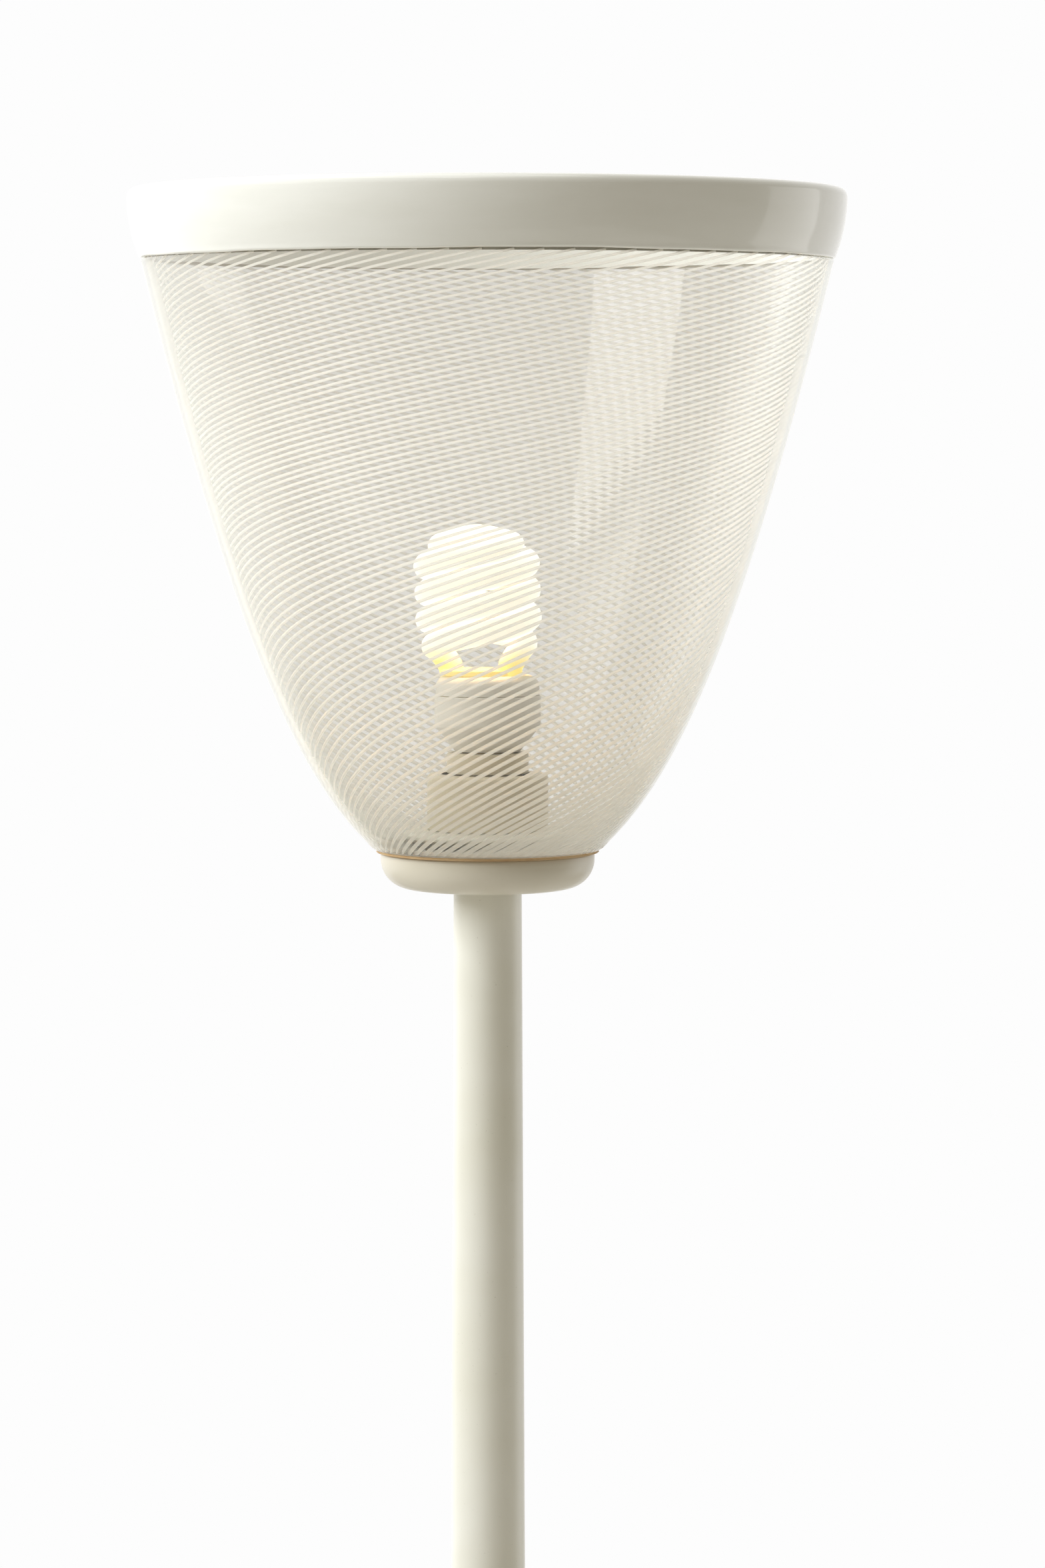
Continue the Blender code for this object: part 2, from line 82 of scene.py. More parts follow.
world = bpy.data.worlds.new("studio")
bpy.context.scene.world = world
world.use_nodes = True
sky = world.node_tree
sky.nodes.clear()
direction = add(sky, "ShaderNodeTexCoord")
split = add(sky, "ShaderNodeSeparateXYZ", {"Vector": direction.outputs["Generated"]})
behind = add(sky, "ShaderNodeMapRange", {
    "Value": split.outputs["Y"], "From Min": -0.1, "From Max": 0.75, "To Min": 0.0, "To Max": 1.0},
    interpolation_type='SMOOTHSTEP')
left_to_right = add(sky, "ShaderNodeMapRange", {
    "Value": split.outputs["X"], "From Min": -0.9, "From Max": 0.6, "To Min": 1.2, "To Max": 0.84},
    interpolation_type='SMOOTHSTEP')
back_wall = add(sky, "ShaderNodeMix", {
    0: behind.outputs[0], 6: (0.38, 0.35, 0.29, 1.0), 7: (1.12, 1.11, 1.09, 1.0)}, data_type='RGBA')
walls = add(sky, "ShaderNodeBackground", {
    "Color": back_wall.outputs[2], "Strength": left_to_right.outputs[0]})

# The camera sees one even pale wall, whatever the walls that light the lamp are like.
seen = add(sky, "ShaderNodeBackground", {"Color": linear("#fdfdfd"), "Strength": 1.0})
path = add(sky, "ShaderNodeLightPath")
either = add(sky, "ShaderNodeMixShader", {
    0: path.outputs["Is Camera Ray"], 1: walls.outputs[0], 2: seen.outputs[0]})
add(sky, "ShaderNodeOutputWorld", {"Surface": either.outputs[0]})


def softbox(name, place, target, width, height, watts, colour="#ffffff"):
    """A rectangular light that faces a target and that the camera doesn't see."""
    data = bpy.data.lights.new(name, 'AREA')
    data.shape = 'RECTANGLE'
    data.size = width
    data.size_y = height
    data.energy = watts
    data.color = linear(colour)[:3]
    made = bpy.data.objects.new(name, data)
    bpy.context.scene.collection.objects.link(made)
    made.location = place
    made.rotation_euler = (Vector(target) - Vector(place)).to_track_quat('-Z', 'Y').to_euler()
    made.visible_camera = False
    return made


# The key and the fill light the lamp. Their mirrored partners show only in the bowl's glass.
key = softbox("key", (-2.25, -0.65, LIP + 1.35), (0, 0, LIP), 1.5, 1.7, 78, "#f6faff")
key.visible_glossy = False
mirrored_key = softbox("mirrored_key", (-2.1, -1.16, LIP + 0.9), (0, 0, LIP), 1.5, 2.6, 54)
mirrored_fill = softbox("mirrored_fill", (2.16, 1.05, LIP + 0.9), (0, 0, LIP), 1.0, 2.6, 12)
softbox("fill", (2.2, 0.92, LIP - 0.2), (0, 0, LIP), 1.3, 2.2, 5.5)
softbox("top", (-0.3, -0.3, LIP + 2.0), (0, 0, LIP), 1.6, 1.6, 10)

FLOOR_HALF = 3  # its far edge stays below the camera's view
floor_mesh = bpy.data.meshes.new("floor")
floor_mesh.from_pydata([(x * FLOOR_HALF, y * FLOOR_HALF, 0)
                        for x, y in ((-1, -1), (1, -1), (1, 1), (-1, 1))], [], [(0, 1, 2, 3)])
floor = bpy.data.objects.new("floor", floor_mesh)
bpy.context.scene.collection.objects.link(floor)
floor.location.z = -0.2 * MM
paint = bpy.data.materials.new("pale_painted_floor")
paint.use_nodes = True
paint.node_tree.nodes["Principled BSDF"].inputs["Base Color"].default_value = linear("#e9e7e2")
paint.node_tree.nodes["Principled BSDF"].inputs["Roughness"].default_value = 0.7
floor_mesh.materials.append(paint)


# ---------------------------------------------------------------- base cover
# Spun steel cover of the weighted base, 1.2 mm thick, baked cream lacquer like the stem and the
# cup. It is a shallow cone with a rolled shoulder, pulled down on its weight by the centre nut.

def eased(corners, steps=6):
    """Closed outline through corners of (radius, height, edge radius), each corner eased."""
    outline = []
    count = len(corners)
    for i, (x, z, ease) in enumerate(corners):
        corner = Vector((x, z))
        before = Vector(corners[i - 1][:2]) - corner
        after = Vector(corners[(i + 1) % count][:2]) - corner
        half = before.angle(after) / 2
        if ease <= 0 or half > math.radians(89):
            outline.append((x, z))
            continue
        reach = min(ease / math.tan(half), before.length * 0.49, after.length * 0.49)
        start = corner + before.normalized() * reach
        end = corner + after.normalized() * reach
        for k in range(steps + 1):
            t = k / steps
            point = start * (1 - t) ** 2 + corner * (2 * t * (1 - t)) + end * t ** 2
            outline.append((point.x, point.y))
    return outline


def lathe(name, outline, sides=128, ring=True):
    """Turn an outline, which runs down its outer side, about the lamp's axis."""
    verts, faces, rows = [], [], []
    for radius, height in outline:
        if radius < 1e-6:
            rows.append([len(verts)])
            verts.append((0, 0, height))
            continue
        rows.append(list(range(len(verts), len(verts) + sides)))
        for j in range(sides):
            angle = math.tau * j / sides
            verts.append((radius * math.cos(angle), radius * math.sin(angle), height))
    pairs = list(zip(rows, rows[1:] + rows[:1])) if ring else list(zip(rows, rows[1:]))
    for upper, lower in pairs:
        for j in range(sides):
            k = (j + 1) % sides
            if len(upper) == 1 and len(lower) == 1:
                break
            if len(upper) == 1:
                faces.append((upper[0], lower[j], lower[k]))
            elif len(lower) == 1:
                faces.append((upper[j], lower[0], upper[k]))
            else:
                faces.append((upper[j], lower[j], lower[k], upper[k]))
    mesh = bpy.data.meshes.new(name)
    mesh.from_pydata(verts, [], faces)
    mesh.shade_smooth()
    mesh.set_sharp_from_angle(angle=math.radians(38))
    made = bpy.data.objects.new(name, mesh)
    bpy.context.scene.collection.objects.link(made)
    return made


def finish(piece, material, body="lamp", nodes=()):
    """Give a piece its material, its body, and the CAD nodes that it stands for."""
    if not piece.data.materials:
        piece.data.materials.append(material)
    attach(piece, body)
    if nodes:
        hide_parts(*nodes)
    return piece


def new_material(name):
    """A material with an empty node tree."""
    made = bpy.data.materials.new(name)
    made.use_nodes = True
    made.node_tree.nodes.clear()
    return made, made.node_tree


def lacquer(name, light, deep, chips=()):
    """Baked cream enamel on primed steel: glossy, with orange peel 2 to 3 mm across, specks of
    dust about 1 mm apart and a slow yellowing in patches of 100 mm.

    chips are (x, y, z, radius) spots where the enamel has flaked to the dark primer."""
    made, tree = new_material(name)
    place = add(tree, "ShaderNodeTexCoord").outputs["Object"]
    ageing = add(tree, "ShaderNodeTexNoise", {
        "Vector": place, "Scale": 9.0, "Detail": 3.0, "Roughness": 0.6})
    specks = add(tree, "ShaderNodeTexNoise", {"Vector": place, "Scale": 900.0, "Detail": 2.0})
    dust = add(tree, "ShaderNodeMapRange", {
        "Value": specks.outputs["Fac"], "From Min": 0.72, "From Max": 0.80, "To Max": 0.35})
    ramp = add(tree, "ShaderNodeMapRange", {
        "Value": ageing.outputs["Fac"], "From Min": 0.35, "From Max": 0.7})
    cream = add(tree, "ShaderNodeMix", {
        0: ramp.outputs[0], 6: linear(light), 7: linear(deep)}, data_type='RGBA')
    colour = add(tree, "ShaderNodeMix", {
        0: dust.outputs[0], 6: cream.outputs[2], 7: linear("#8a8069")}, data_type='RGBA').outputs[2]
    wear = None
    if chips:
        ragged = add(tree, "ShaderNodeTexNoise", {
            "Vector": place, "Scale": 1400.0, "Detail": 2.0}).outputs["Fac"]
    for x, y, z, radius in chips:
        away = add(tree, "ShaderNodeVectorMath", {0: place, 1: (x, y, z)}, operation='DISTANCE')
        rough_edge = add(tree, "ShaderNodeMath", {
            0: ragged, 1: radius * 1.6, 2: away.outputs["Value"]}, operation='MULTIPLY_ADD')
        spot = add(tree, "ShaderNodeMapRange", {
            "Value": rough_edge.outputs[0], "From Min": radius * 1.75, "From Max": radius * 1.95,
            "To Min": 1.0, "To Max": 0.0}).outputs[0]
        wear = spot if wear is None else add(
            tree, "ShaderNodeMath", {0: wear, 1: spot}, operation='MAXIMUM').outputs[0]
    if wear is not None:
        colour = add(tree, "ShaderNodeMix", {
            0: wear, 6: colour, 7: linear("#4a4134")}, data_type='RGBA').outputs[2]
    peel = add(tree, "ShaderNodeTexNoise", {"Vector": place, "Scale": 420.0, "Detail": 2.0})
    bump = add(tree, "ShaderNodeBump", {
        "Height": peel.outputs["Fac"], "Strength": 0.06, "Distance": 0.2 * MM})
    sheen = add(tree, "ShaderNodeMapRange", {
        "Value": ageing.outputs["Fac"], "To Min": 0.30, "To Max": 0.42})
    shader = add(tree, "ShaderNodeBsdfPrincipled", {
        "Base Color": colour, "Roughness": sheen.outputs[0], "IOR": 1.5, "Coat Weight": 0.25,
        "Coat Roughness": 0.12, "Normal": bump.outputs[0]})
    add(tree, "ShaderNodeOutputMaterial", {"Surface": shader.outputs[0]})
    return made


STEEL_SHEET = 1.2 * MM
NIPPLE_HOLE = 5.4 * MM
base_low, base_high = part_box("base_cover")
base_radius = base_high.x
cone_foot = 22 * MM
CREAM = lacquer("cream_baked_enamel", "#e5e4da", "#dcdacb")
cover_outline = eased([
    (NIPPLE_HOLE, base_high.z, 0.2 * MM), (44 * MM, base_high.z, 8 * MM),
    (54 * MM, base_high.z - 3 * MM, 20 * MM), (154.9 * MM, cone_foot, 6 * MM),
    (base_radius, 16 * MM, 5 * MM), (base_radius, base_low.z, 0.5 * MM),
    (base_radius - STEEL_SHEET, base_low.z, 0.5 * MM),
    (base_radius - STEEL_SHEET, 15.6 * MM, 4 * MM),
    (154.4 * MM, cone_foot - STEEL_SHEET, 4 * MM),
    (53.7 * MM, base_high.z - 3 * MM - STEEL_SHEET, 10 * MM),
    (43.5 * MM, base_high.z - STEEL_SHEET, 0), (NIPPLE_HOLE, base_high.z - STEEL_SHEET, 0.2 * MM)])
finish(lathe("base_shell", cover_outline, 192), CREAM, nodes=["base_cover"])


# ---------------------------------------------------------------- base weight and fixings
# A sand-cast iron disc painted black, standing on a ring of pressed green felt, held by a zinc
# plated washer and nut on the hollow M10 tube. A black bush leads the lead in at the back.

def cast_iron():
    """Black paint over sand-cast iron: a dull, pitted skin with a sand grain of 1.4 mm."""
    made, tree = new_material("sand_cast_iron_black")
    place = add(tree, "ShaderNodeTexCoord").outputs["Object"]
    grains = add(tree, "ShaderNodeTexNoise", {"Vector": place, "Scale": 700.0, "Detail": 4.0})
    patches = add(tree, "ShaderNodeTexNoise", {"Vector": place, "Scale": 30.0, "Detail": 3.0})
    colour = add(tree, "ShaderNodeMix", {
        0: patches.outputs["Fac"], 6: linear("#2b2a29"), 7: linear("#45403a")}, data_type='RGBA')
    bump = add(tree, "ShaderNodeBump", {
        "Height": grains.outputs["Fac"], "Strength": 0.5, "Distance": 0.4 * MM})
    shader = add(tree, "ShaderNodeBsdfPrincipled", {
        "Base Color": colour.outputs[2], "Roughness": 0.6, "Metallic": 0.3,
        "Normal": bump.outputs[0]})
    add(tree, "ShaderNodeOutputMaterial", {"Surface": shader.outputs[0]})
    return made


def pressed_felt():
    """Dark green wool felt: matt, with matted fibres under 1 mm and a faint sheen."""
    made, tree = new_material("pressed_wool_felt")
    place = add(tree, "ShaderNodeTexCoord").outputs["Object"]
    fibres = add(tree, "ShaderNodeTexNoise", {
        "Vector": place, "Scale": 1500.0, "Detail": 5.0, "Distortion": 1.5})
    colour = add(tree, "ShaderNodeMix", {
        0: fibres.outputs["Fac"], 6: linear("#1f2a22"), 7: linear("#43523f")}, data_type='RGBA')
    bump = add(tree, "ShaderNodeBump", {
        "Height": fibres.outputs["Fac"], "Strength": 0.8, "Distance": 0.4 * MM})
    shader = add(tree, "ShaderNodeBsdfPrincipled", {
        "Base Color": colour.outputs[2], "Roughness": 0.95, "Sheen Weight": 0.3,
        "Normal": bump.outputs[0]})
    add(tree, "ShaderNodeOutputMaterial", {"Surface": shader.outputs[0]})
    return made


def plated(name, light, dark, roughness):
    """Turned or pressed bright metal, its shine broken by fine tool marks and dulled in clouds."""
    made, tree = new_material(name)
    place = add(tree, "ShaderNodeTexCoord").outputs["Object"]
    marks = add(tree, "ShaderNodeTexWave", {
        "Vector": place, "Scale": 900.0, "Distortion": 2.0, "Detail": 2.0}, bands_direction='Z')
    cloud = add(tree, "ShaderNodeTexNoise", {"Vector": place, "Scale": 160.0, "Detail": 3.0})
    colour = add(tree, "ShaderNodeMix", {
        0: cloud.outputs["Fac"], 6: linear(light), 7: linear(dark)}, data_type='RGBA')
    bump = add(tree, "ShaderNodeBump", {
        "Height": marks.outputs["Fac"], "Strength": 0.15, "Distance": 0.05 * MM})
    shader = add(tree, "ShaderNodeBsdfPrincipled", {
        "Base Color": colour.outputs[2], "Roughness": roughness, "Metallic": 1.0,
        "Normal": bump.outputs[0]})
    add(tree, "ShaderNodeOutputMaterial", {"Surface": shader.outputs[0]})
    return made


def moulded(name, light, dark, roughness, grain=900.0):
    """Moulded plastic, rubber or ceramic: near plain, with a fine grain of about 1 mm."""
    made, tree = new_material(name)
    place = add(tree, "ShaderNodeTexCoord").outputs["Object"]
    fine = add(tree, "ShaderNodeTexNoise", {"Vector": place, "Scale": grain, "Detail": 3.0})
    slow = add(tree, "ShaderNodeTexNoise", {"Vector": place, "Scale": 40.0, "Detail": 2.0})
    colour = add(tree, "ShaderNodeMix", {
        0: slow.outputs["Fac"], 6: linear(light), 7: linear(dark)}, data_type='RGBA')
    bump = add(tree, "ShaderNodeBump", {
        "Height": fine.outputs["Fac"], "Strength": 0.12, "Distance": 0.08 * MM})
    shader = add(tree, "ShaderNodeBsdfPrincipled", {
        "Base Color": colour.outputs[2], "Roughness": roughness, "IOR": 1.46,
        "Normal": bump.outputs[0]})
    add(tree, "ShaderNodeOutputMaterial", {"Surface": shader.outputs[0]})
    return made


def dress(material, *nodes):
    """Give CAD nodes whose own shape shows their finished material."""
    for name in nodes:
        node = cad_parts[name]
        node.data.materials.clear()
        node.data.materials.append(material)


ZINC = plated("zinc_plated_steel", "#b9bab8", "#9c9d9a", 0.32)
BRASS = plated("pressed_brass", "#d9b978", "#c19b55", 0.28)
BLACK_NYLON = moulded("black_nylon", "#1b1b1b", "#262625", 0.45)
dress(cast_iron(), "base_weight")
dress(pressed_felt(), "base_felt")
dress(ZINC, "base_washer", "base_lock_nut", "base_nipple", "foot_bush", "neck_bush", "neck_nipple",
      "clamp_nut")
dress(BLACK_NYLON, "cord_gland", "lead_sheath")
dress(moulded("brown_pvc", "#4c2c1a", "#5a3622", 0.45), "lead_core_live")
dress(moulded("blue_pvc", "#2b4f8c", "#35599a", 0.45), "lead_core_neutral")


# ---------------------------------------------------------------- stem
# A tapered steel tube, 46 mm at the foot and 33 mm at the neck, in the same enamel, chipped in a
# few places near the top. A low turned collar covers its foot.

stem_low, stem_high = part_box("stem_tube")
foot_radius = stem_high.x
NECK_RADIUS = 16.5 * MM


def on_stem(angle, drop, radius):
    """A chip on the stem, at an angle round it and a drop below the bowl's seat."""
    z = LIP - drop
    share = (stem_high.z - z) / (stem_high.z - stem_low.z)
    at = NECK_RADIUS + (foot_radius - NECK_RADIUS) * share
    turn = math.radians(angle)
    return (at * math.sin(turn), -at * math.cos(turn), z, radius)


stem_chips = [
    on_stem(1, 154, 0.5 * MM), on_stem(39, 151, 0.6 * MM), on_stem(-1, 204, 0.5 * MM),
    on_stem(-1, 206.5, 0.9 * MM), on_stem(0, 209, 1.0 * MM), on_stem(1, 211.5, 0.7 * MM),
    on_stem(-34, 263, 0.5 * MM), on_stem(-3, 324, 0.8 * MM), on_stem(-3, 326.5, 0.6 * MM),
    on_stem(120, 420, 1.2 * MM), on_stem(200, 700, 0.9 * MM), on_stem(-80, 980, 1.1 * MM)]
STEM_CREAM = lacquer("cream_baked_enamel_chipped", "#e5e4da", "#dcdacb", stem_chips)
STEM_STEPS = 48
stem_outline = [(NECK_RADIUS + (foot_radius - NECK_RADIUS) * i / STEM_STEPS,
                 stem_high.z + (stem_low.z - stem_high.z) * i / STEM_STEPS)
                for i in range(STEM_STEPS + 1)]
stem_outline += [(foot_radius - STEEL_SHEET, stem_low.z), (NECK_RADIUS - STEEL_SHEET, stem_high.z)]
finish(lathe("stem", stem_outline, 128), STEM_CREAM, nodes=["stem_tube"])

collar_low, collar_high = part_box("foot_collar")
bore = foot_radius + 0.3 * MM
collar_outline = eased([
    (bore, collar_high.z, 0.3 * MM), (bore + 2.2 * MM, collar_high.z, 1.0 * MM),
    (bore + 4 * MM, collar_high.z - 1.8 * MM, 1.2 * MM), (collar_high.x, collar_low.z, 0.4 * MM),
    (bore, collar_low.z, 0.2 * MM)])
finish(lathe("stem_foot_collar", collar_outline), CREAM, nodes=["foot_collar"])


# ---------------------------------------------------------------- cup
# The cup that carries the bowl: spun from steel sheet with a wide rolled corner, enamelled a
# slightly greyer cream, with a strip of brown cork rubber on its lip under the glass.

cup_low, cup_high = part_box("shade_cup")
CUP_RADIUS = cup_high.x
CUP_CORNER = 14 * MM
cup_floor = cup_low.z
cup_chips = [(17 * MM, -48.9 * MM, cup_floor + 3.6 * MM, 0.35 * MM),
             (-14 * MM, -49.9 * MM, cup_high.z - 7 * MM, 0.4 * MM)]
CUP_CREAM = lacquer("grey_cream_baked_enamel", "#cdc7b6", "#c1baa6", cup_chips)


def quarter(centre_radius, centre_height, radius, start, end, steps=14):
    """Points on an arc of an outline; 0 degrees points outwards and -90 down."""
    points = []
    for i in range(steps + 1):
        angle = math.radians(start + (end - start) * i / steps)
        points.append((centre_radius + radius * math.cos(angle),
                       centre_height + radius * math.sin(angle)))
    return points


corner_at = (CUP_RADIUS - CUP_CORNER, cup_floor + CUP_CORNER)
cup_outline = [
    (CUP_RADIUS - 1.0 * MM, cup_high.z), (CUP_RADIUS - 0.3 * MM, cup_high.z),
    (CUP_RADIUS, cup_high.z - 0.4 * MM), *quarter(*corner_at, CUP_CORNER, 0, -90),
    (NIPPLE_HOLE, cup_floor), (NIPPLE_HOLE, cup_floor + STEEL_SHEET),
    *quarter(*corner_at, CUP_CORNER - STEEL_SHEET, -90, 0),
    (CUP_RADIUS - STEEL_SHEET, cup_high.z - 0.3 * MM)]
finish(lathe("bowl_cup", cup_outline, 160), CUP_CREAM, nodes=["shade_cup"])


def cork_rubber():
    """Cork crumbs of about 1 mm bound in rubber: matt, in mottled browns."""
    made, tree = new_material("brown_cork_rubber")
    place = add(tree, "ShaderNodeTexCoord").outputs["Object"]
    grains = add(tree, "ShaderNodeTexVoronoi", {"Vector": place, "Scale": 900.0})
    stains = add(tree, "ShaderNodeTexNoise", {"Vector": place, "Scale": 120.0, "Detail": 3.0})
    colour = add(tree, "ShaderNodeMix", {
        0: stains.outputs["Fac"], 6: linear("#a5825c"), 7: linear("#cdb58c")}, data_type='RGBA')
    bump = add(tree, "ShaderNodeBump", {
        "Height": grains.outputs["Distance"], "Strength": 0.4, "Distance": 0.15 * MM})
    shader = add(tree, "ShaderNodeBsdfPrincipled", {
        "Base Color": colour.outputs[2], "Roughness": 0.85, "Normal": bump.outputs[0]})
    add(tree, "ShaderNodeOutputMaterial", {"Surface": shader.outputs[0]})
    return made


SEAL_INSIDE = 48.5 * MM
gasket_low, gasket_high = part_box("cup_gasket")
gasket_outline = eased([
    (SEAL_INSIDE, gasket_high.z, 0.2 * MM), (gasket_high.x, gasket_high.z, 0.4 * MM),
    (gasket_high.x, gasket_low.z, 0.4 * MM), (SEAL_INSIDE, gasket_low.z, 0.2 * MM)])
finish(lathe("cup_seal", gasket_outline, 160), cork_rubber(), nodes=["cup_gasket"])


# ---------------------------------------------------------------- bowl
# Half-filigree bowl: canes of white glass laid side by side in clear glass, picked up on the
# pipe, twisted a little over one turn and blown into a bowl with a flat, drilled foot.

BOWL_HEIGHT = 283 * MM
BOWL_CURVE = ((166.0, 283.0), (119.66, 90.0), (88.26, 30.9), (56.1, 1.1))
FLOOR_THICK = 4.2 * MM
CANE_COUNT = 72
CLIMB_LOW = 30.5
CLIMB_HIGH = 12.2
FOOT_EDGE = 54.6 * MM
HOLE_RADIUS = 20 * MM
WALL = 3.2 * MM


def bowl_side(steps):
    """Outside of the bowl's wall as (radius, height above its seat), top to bottom."""
    a, b, c, d = [Vector(p) * MM for p in BOWL_CURVE]
    points = []
    for i in range(steps + 1):
        t = i / steps
        u = 1 - t
        point = a * u ** 3 + b * (3 * u * u * t) + c * (3 * u * t * t) + d * t ** 3
        points.append((point.x, point.y))
    return points


def inset(points, depth):
    """The line a depth inside an outline that runs down its outer side."""
    moved = []
    for i, (radius, height) in enumerate(points):
        before = points[max(i - 1, 0)]
        after = points[min(i + 1, len(points) - 1)]
        along = Vector((after[0] - before[0], after[1] - before[1])).normalized()
        thick = depth(i / (len(points) - 1))
        moved.append((radius + thick * along.y, height - thick * along.x))
    return moved


def climb(height):
    """Angle of the canes to the level, in radians, at a height above the seat."""
    share = min(max((height / MM - 20) / 195, 0), 1)
    eased_share = share * share * (3 - 2 * share)
    return math.radians(CLIMB_LOW + (CLIMB_HIGH - CLIMB_LOW) * eased_share)


def twist(line):
    """How far round a cane has gone at each (radius, height) of a line that climbs the bowl."""
    angle = 0.0
    angles = []
    for i, (radius, height) in enumerate(line):
        if i:
            before = line[i - 1]
            rise = height - before[1]
            if height < 12 * MM:
                rise = 0.72 * Vector((radius - before[0], rise)).length
            angle += rise / ((radius + before[0]) / 2 * math.tan(climb(height)))
        angles.append(angle)
    return angles


def clear_glass(name, tint, roughness):
    """Blown soda glass: nearly untinted, mirroring more at grazing angles, its surface a little
    wavy from the blowing, with a faint rib over each cane that fades towards the rim."""
    made, tree = new_material(name)
    place = add(tree, "ShaderNodeTexCoord").outputs["Object"]
    waves = add(tree, "ShaderNodeTexNoise", {"Vector": place, "Scale": 24.0, "Detail": 1.0})
    laid = add(tree, "ShaderNodeUVMap", uv_map="canes")
    across = add(tree, "ShaderNodeSeparateXYZ", {"Vector": laid.outputs[0]})
    ribs = add(tree, "ShaderNodeMath", {0: across.outputs["X"], 1: math.tau}, operation='MULTIPLY')
    ribs = add(tree, "ShaderNodeMath", {0: ribs.outputs[0]}, operation='COSINE')
    fade = add(tree, "ShaderNodeMapRange", {
        "Value": across.outputs["Y"], "From Min": 0.05, "From Max": 0.4, "To Min": 0.25,
        "To Max": 0.06})
    height = add(tree, "ShaderNodeMath", {
        0: ribs.outputs[0], 1: fade.outputs[0], 2: waves.outputs["Fac"]}, operation='MULTIPLY_ADD')
    bump = add(tree, "ShaderNodeBump", {
        "Height": height.outputs[0], "Strength": 0.15, "Distance": 1.0 * MM})

    # The glass's index from outside is 1.5, and its inverse where a face is seen from behind.
    inside = add(tree, "ShaderNodeNewGeometry").outputs["Backfacing"]
    index = add(tree, "ShaderNodeMath", {0: inside, 1: -0.833, 2: 1.5}, operation='MULTIPLY_ADD')
    mirror = add(tree, "ShaderNodeFresnel", {"IOR": index.outputs[0], "Normal": bump.outputs[0]})

    # Along the wall there is more glass to look through, so it greys a little there.
    slant = add(tree, "ShaderNodeLayerWeight", {"Blend": 0.5}).outputs["Facing"]
    slant = add(tree, "ShaderNodeMath", {0: slant, 1: 5.0}, operation='POWER')
    depth = add(tree, "ShaderNodeMix", {
        0: slant.outputs[0], 6: linear(tint), 7: linear("#dde0da")}, data_type='RGBA')
    through = add(tree, "ShaderNodeBsdfTransparent", {"Color": depth.outputs[2]})
    gloss = add(tree, "ShaderNodeBsdfAnisotropic", {
        "Color": linear("#ffffff"), "Roughness": roughness, "Normal": bump.outputs[0]})
    shader = add(tree, "ShaderNodeMixShader", {
        0: mirror.outputs[0], 1: through.outputs[0], 2: gloss.outputs[0]})
    add(tree, "ShaderNodeOutputMaterial", {"Surface": shader.outputs[0]})
    return made


# The wall is 3.2 mm thick at the rim and a millimetre more at the foot.
wall_side = bowl_side(56)
inner = inset(wall_side, lambda share: WALL + 1.0 * MM * share ** 2)
inner = [p for p in inner if p[1] > FLOOR_THICK + 2.4 * MM]
inner[0] = (inner[0][0], BOWL_HEIGHT)
bowl_outline = wall_side + [
    (FOOT_EDGE, -0.2 * MM), (HOLE_RADIUS, -0.2 * MM), (HOLE_RADIUS, FLOOR_THICK - 0.2 * MM),
    (46 * MM, FLOOR_THICK - 0.2 * MM), (51.5 * MM, FLOOR_THICK + 1.0 * MM)] + inner[::-1]
bowl = lathe("bowl_glass", [(r, LIP + z) for r, z in bowl_outline], 192)

# A map of the glass for its material: U counts the canes, V is the height over the bowl's.
rising = wall_side[::-1]
turned_by = twist(rising)
laid_map = bowl.data.uv_layers.new(name="canes")
for face in bowl.data.polygons:
    middle = math.atan2(face.center.x, -face.center.y)
    for loop in face.loop_indices:
        x, y, z = bowl.data.vertices[bowl.data.loops[loop].vertex_index].co
        around = math.atan2(x, -y)
        around += math.tau * round((middle - around) / math.tau)
        level = z - LIP
        step = sum(1 for r, h in rising[1:] if h < level)
        cane = CANE_COUNT * (around - turned_by[step]) / math.tau
        laid_map.data[loop].uv = (cane, level / BOWL_HEIGHT)
bowl.data.materials.append(clear_glass("clear_blown_glass", "#fdfdfc", 0.28))
bowl.data.materials.append(clear_glass("clear_blown_glass_inside", "#f0efed", 0.03))
for face in bowl.data.polygons:
    outwards = face.normal.x * face.center.x + face.normal.y * face.center.y
    face.material_index = 1 if outwards < 0 else 0
finish(bowl, None, nodes=["shade_bowl"])

mirrors = bpy.data.collections.new("mirrored_in_the_glass")
mirrors.objects.link(bowl)
for panel in (mirrored_key, mirrored_fill):
    panel.visible_diffuse = False
    panel.light_linking.receiver_collection = mirrors

# The canes: one path from the foot to the rim, laid as a strand of white glass and repeated
# round the bowl inside its wall. They climb at 30 degrees low in the bowl, at 12 near the rim.

def cane_width(height):
    """Half the width of a cane, which is drawn thinner as the bowl widens."""
    return (0.62 + 0.62 * math.exp(-max(height, 0) / (120 * MM))) * MM


def cane_path():
    """Points (angle, radius, height, half width) of one cane, from the foot upwards."""
    line = inset(bowl_side(150), lambda share: (2.4 - 1.6 * share ** 3) * MM)[::-1]
    foot = [(radius * MM, 0.9 * MM) for radius in range(24, 54, 3)]
    line = foot + [p for p in line if p[1] > 1.1 * MM]
    return [(angle, radius, height, cane_width(height))
            for angle, (radius, height) in zip(twist(line), line)]


def strand_curve():
    """The cane's path as a curve, its radius carrying the half width."""
    curve = bpy.data.curves.new("cane_path", 'CURVE')
    curve.dimensions = '3D'
    points = cane_path()
    spline = curve.splines.new('POLY')
    spline.points.add(len(points) - 1)
    for point, (angle, radius, height, half) in zip(spline.points, points):
        point.co = (radius * math.sin(angle), -radius * math.cos(angle), LIP + height, 1.0)
        point.radius = half
    made = bpy.data.objects.new("cane_path", curve)
    bpy.context.scene.collection.objects.link(made)
    return made


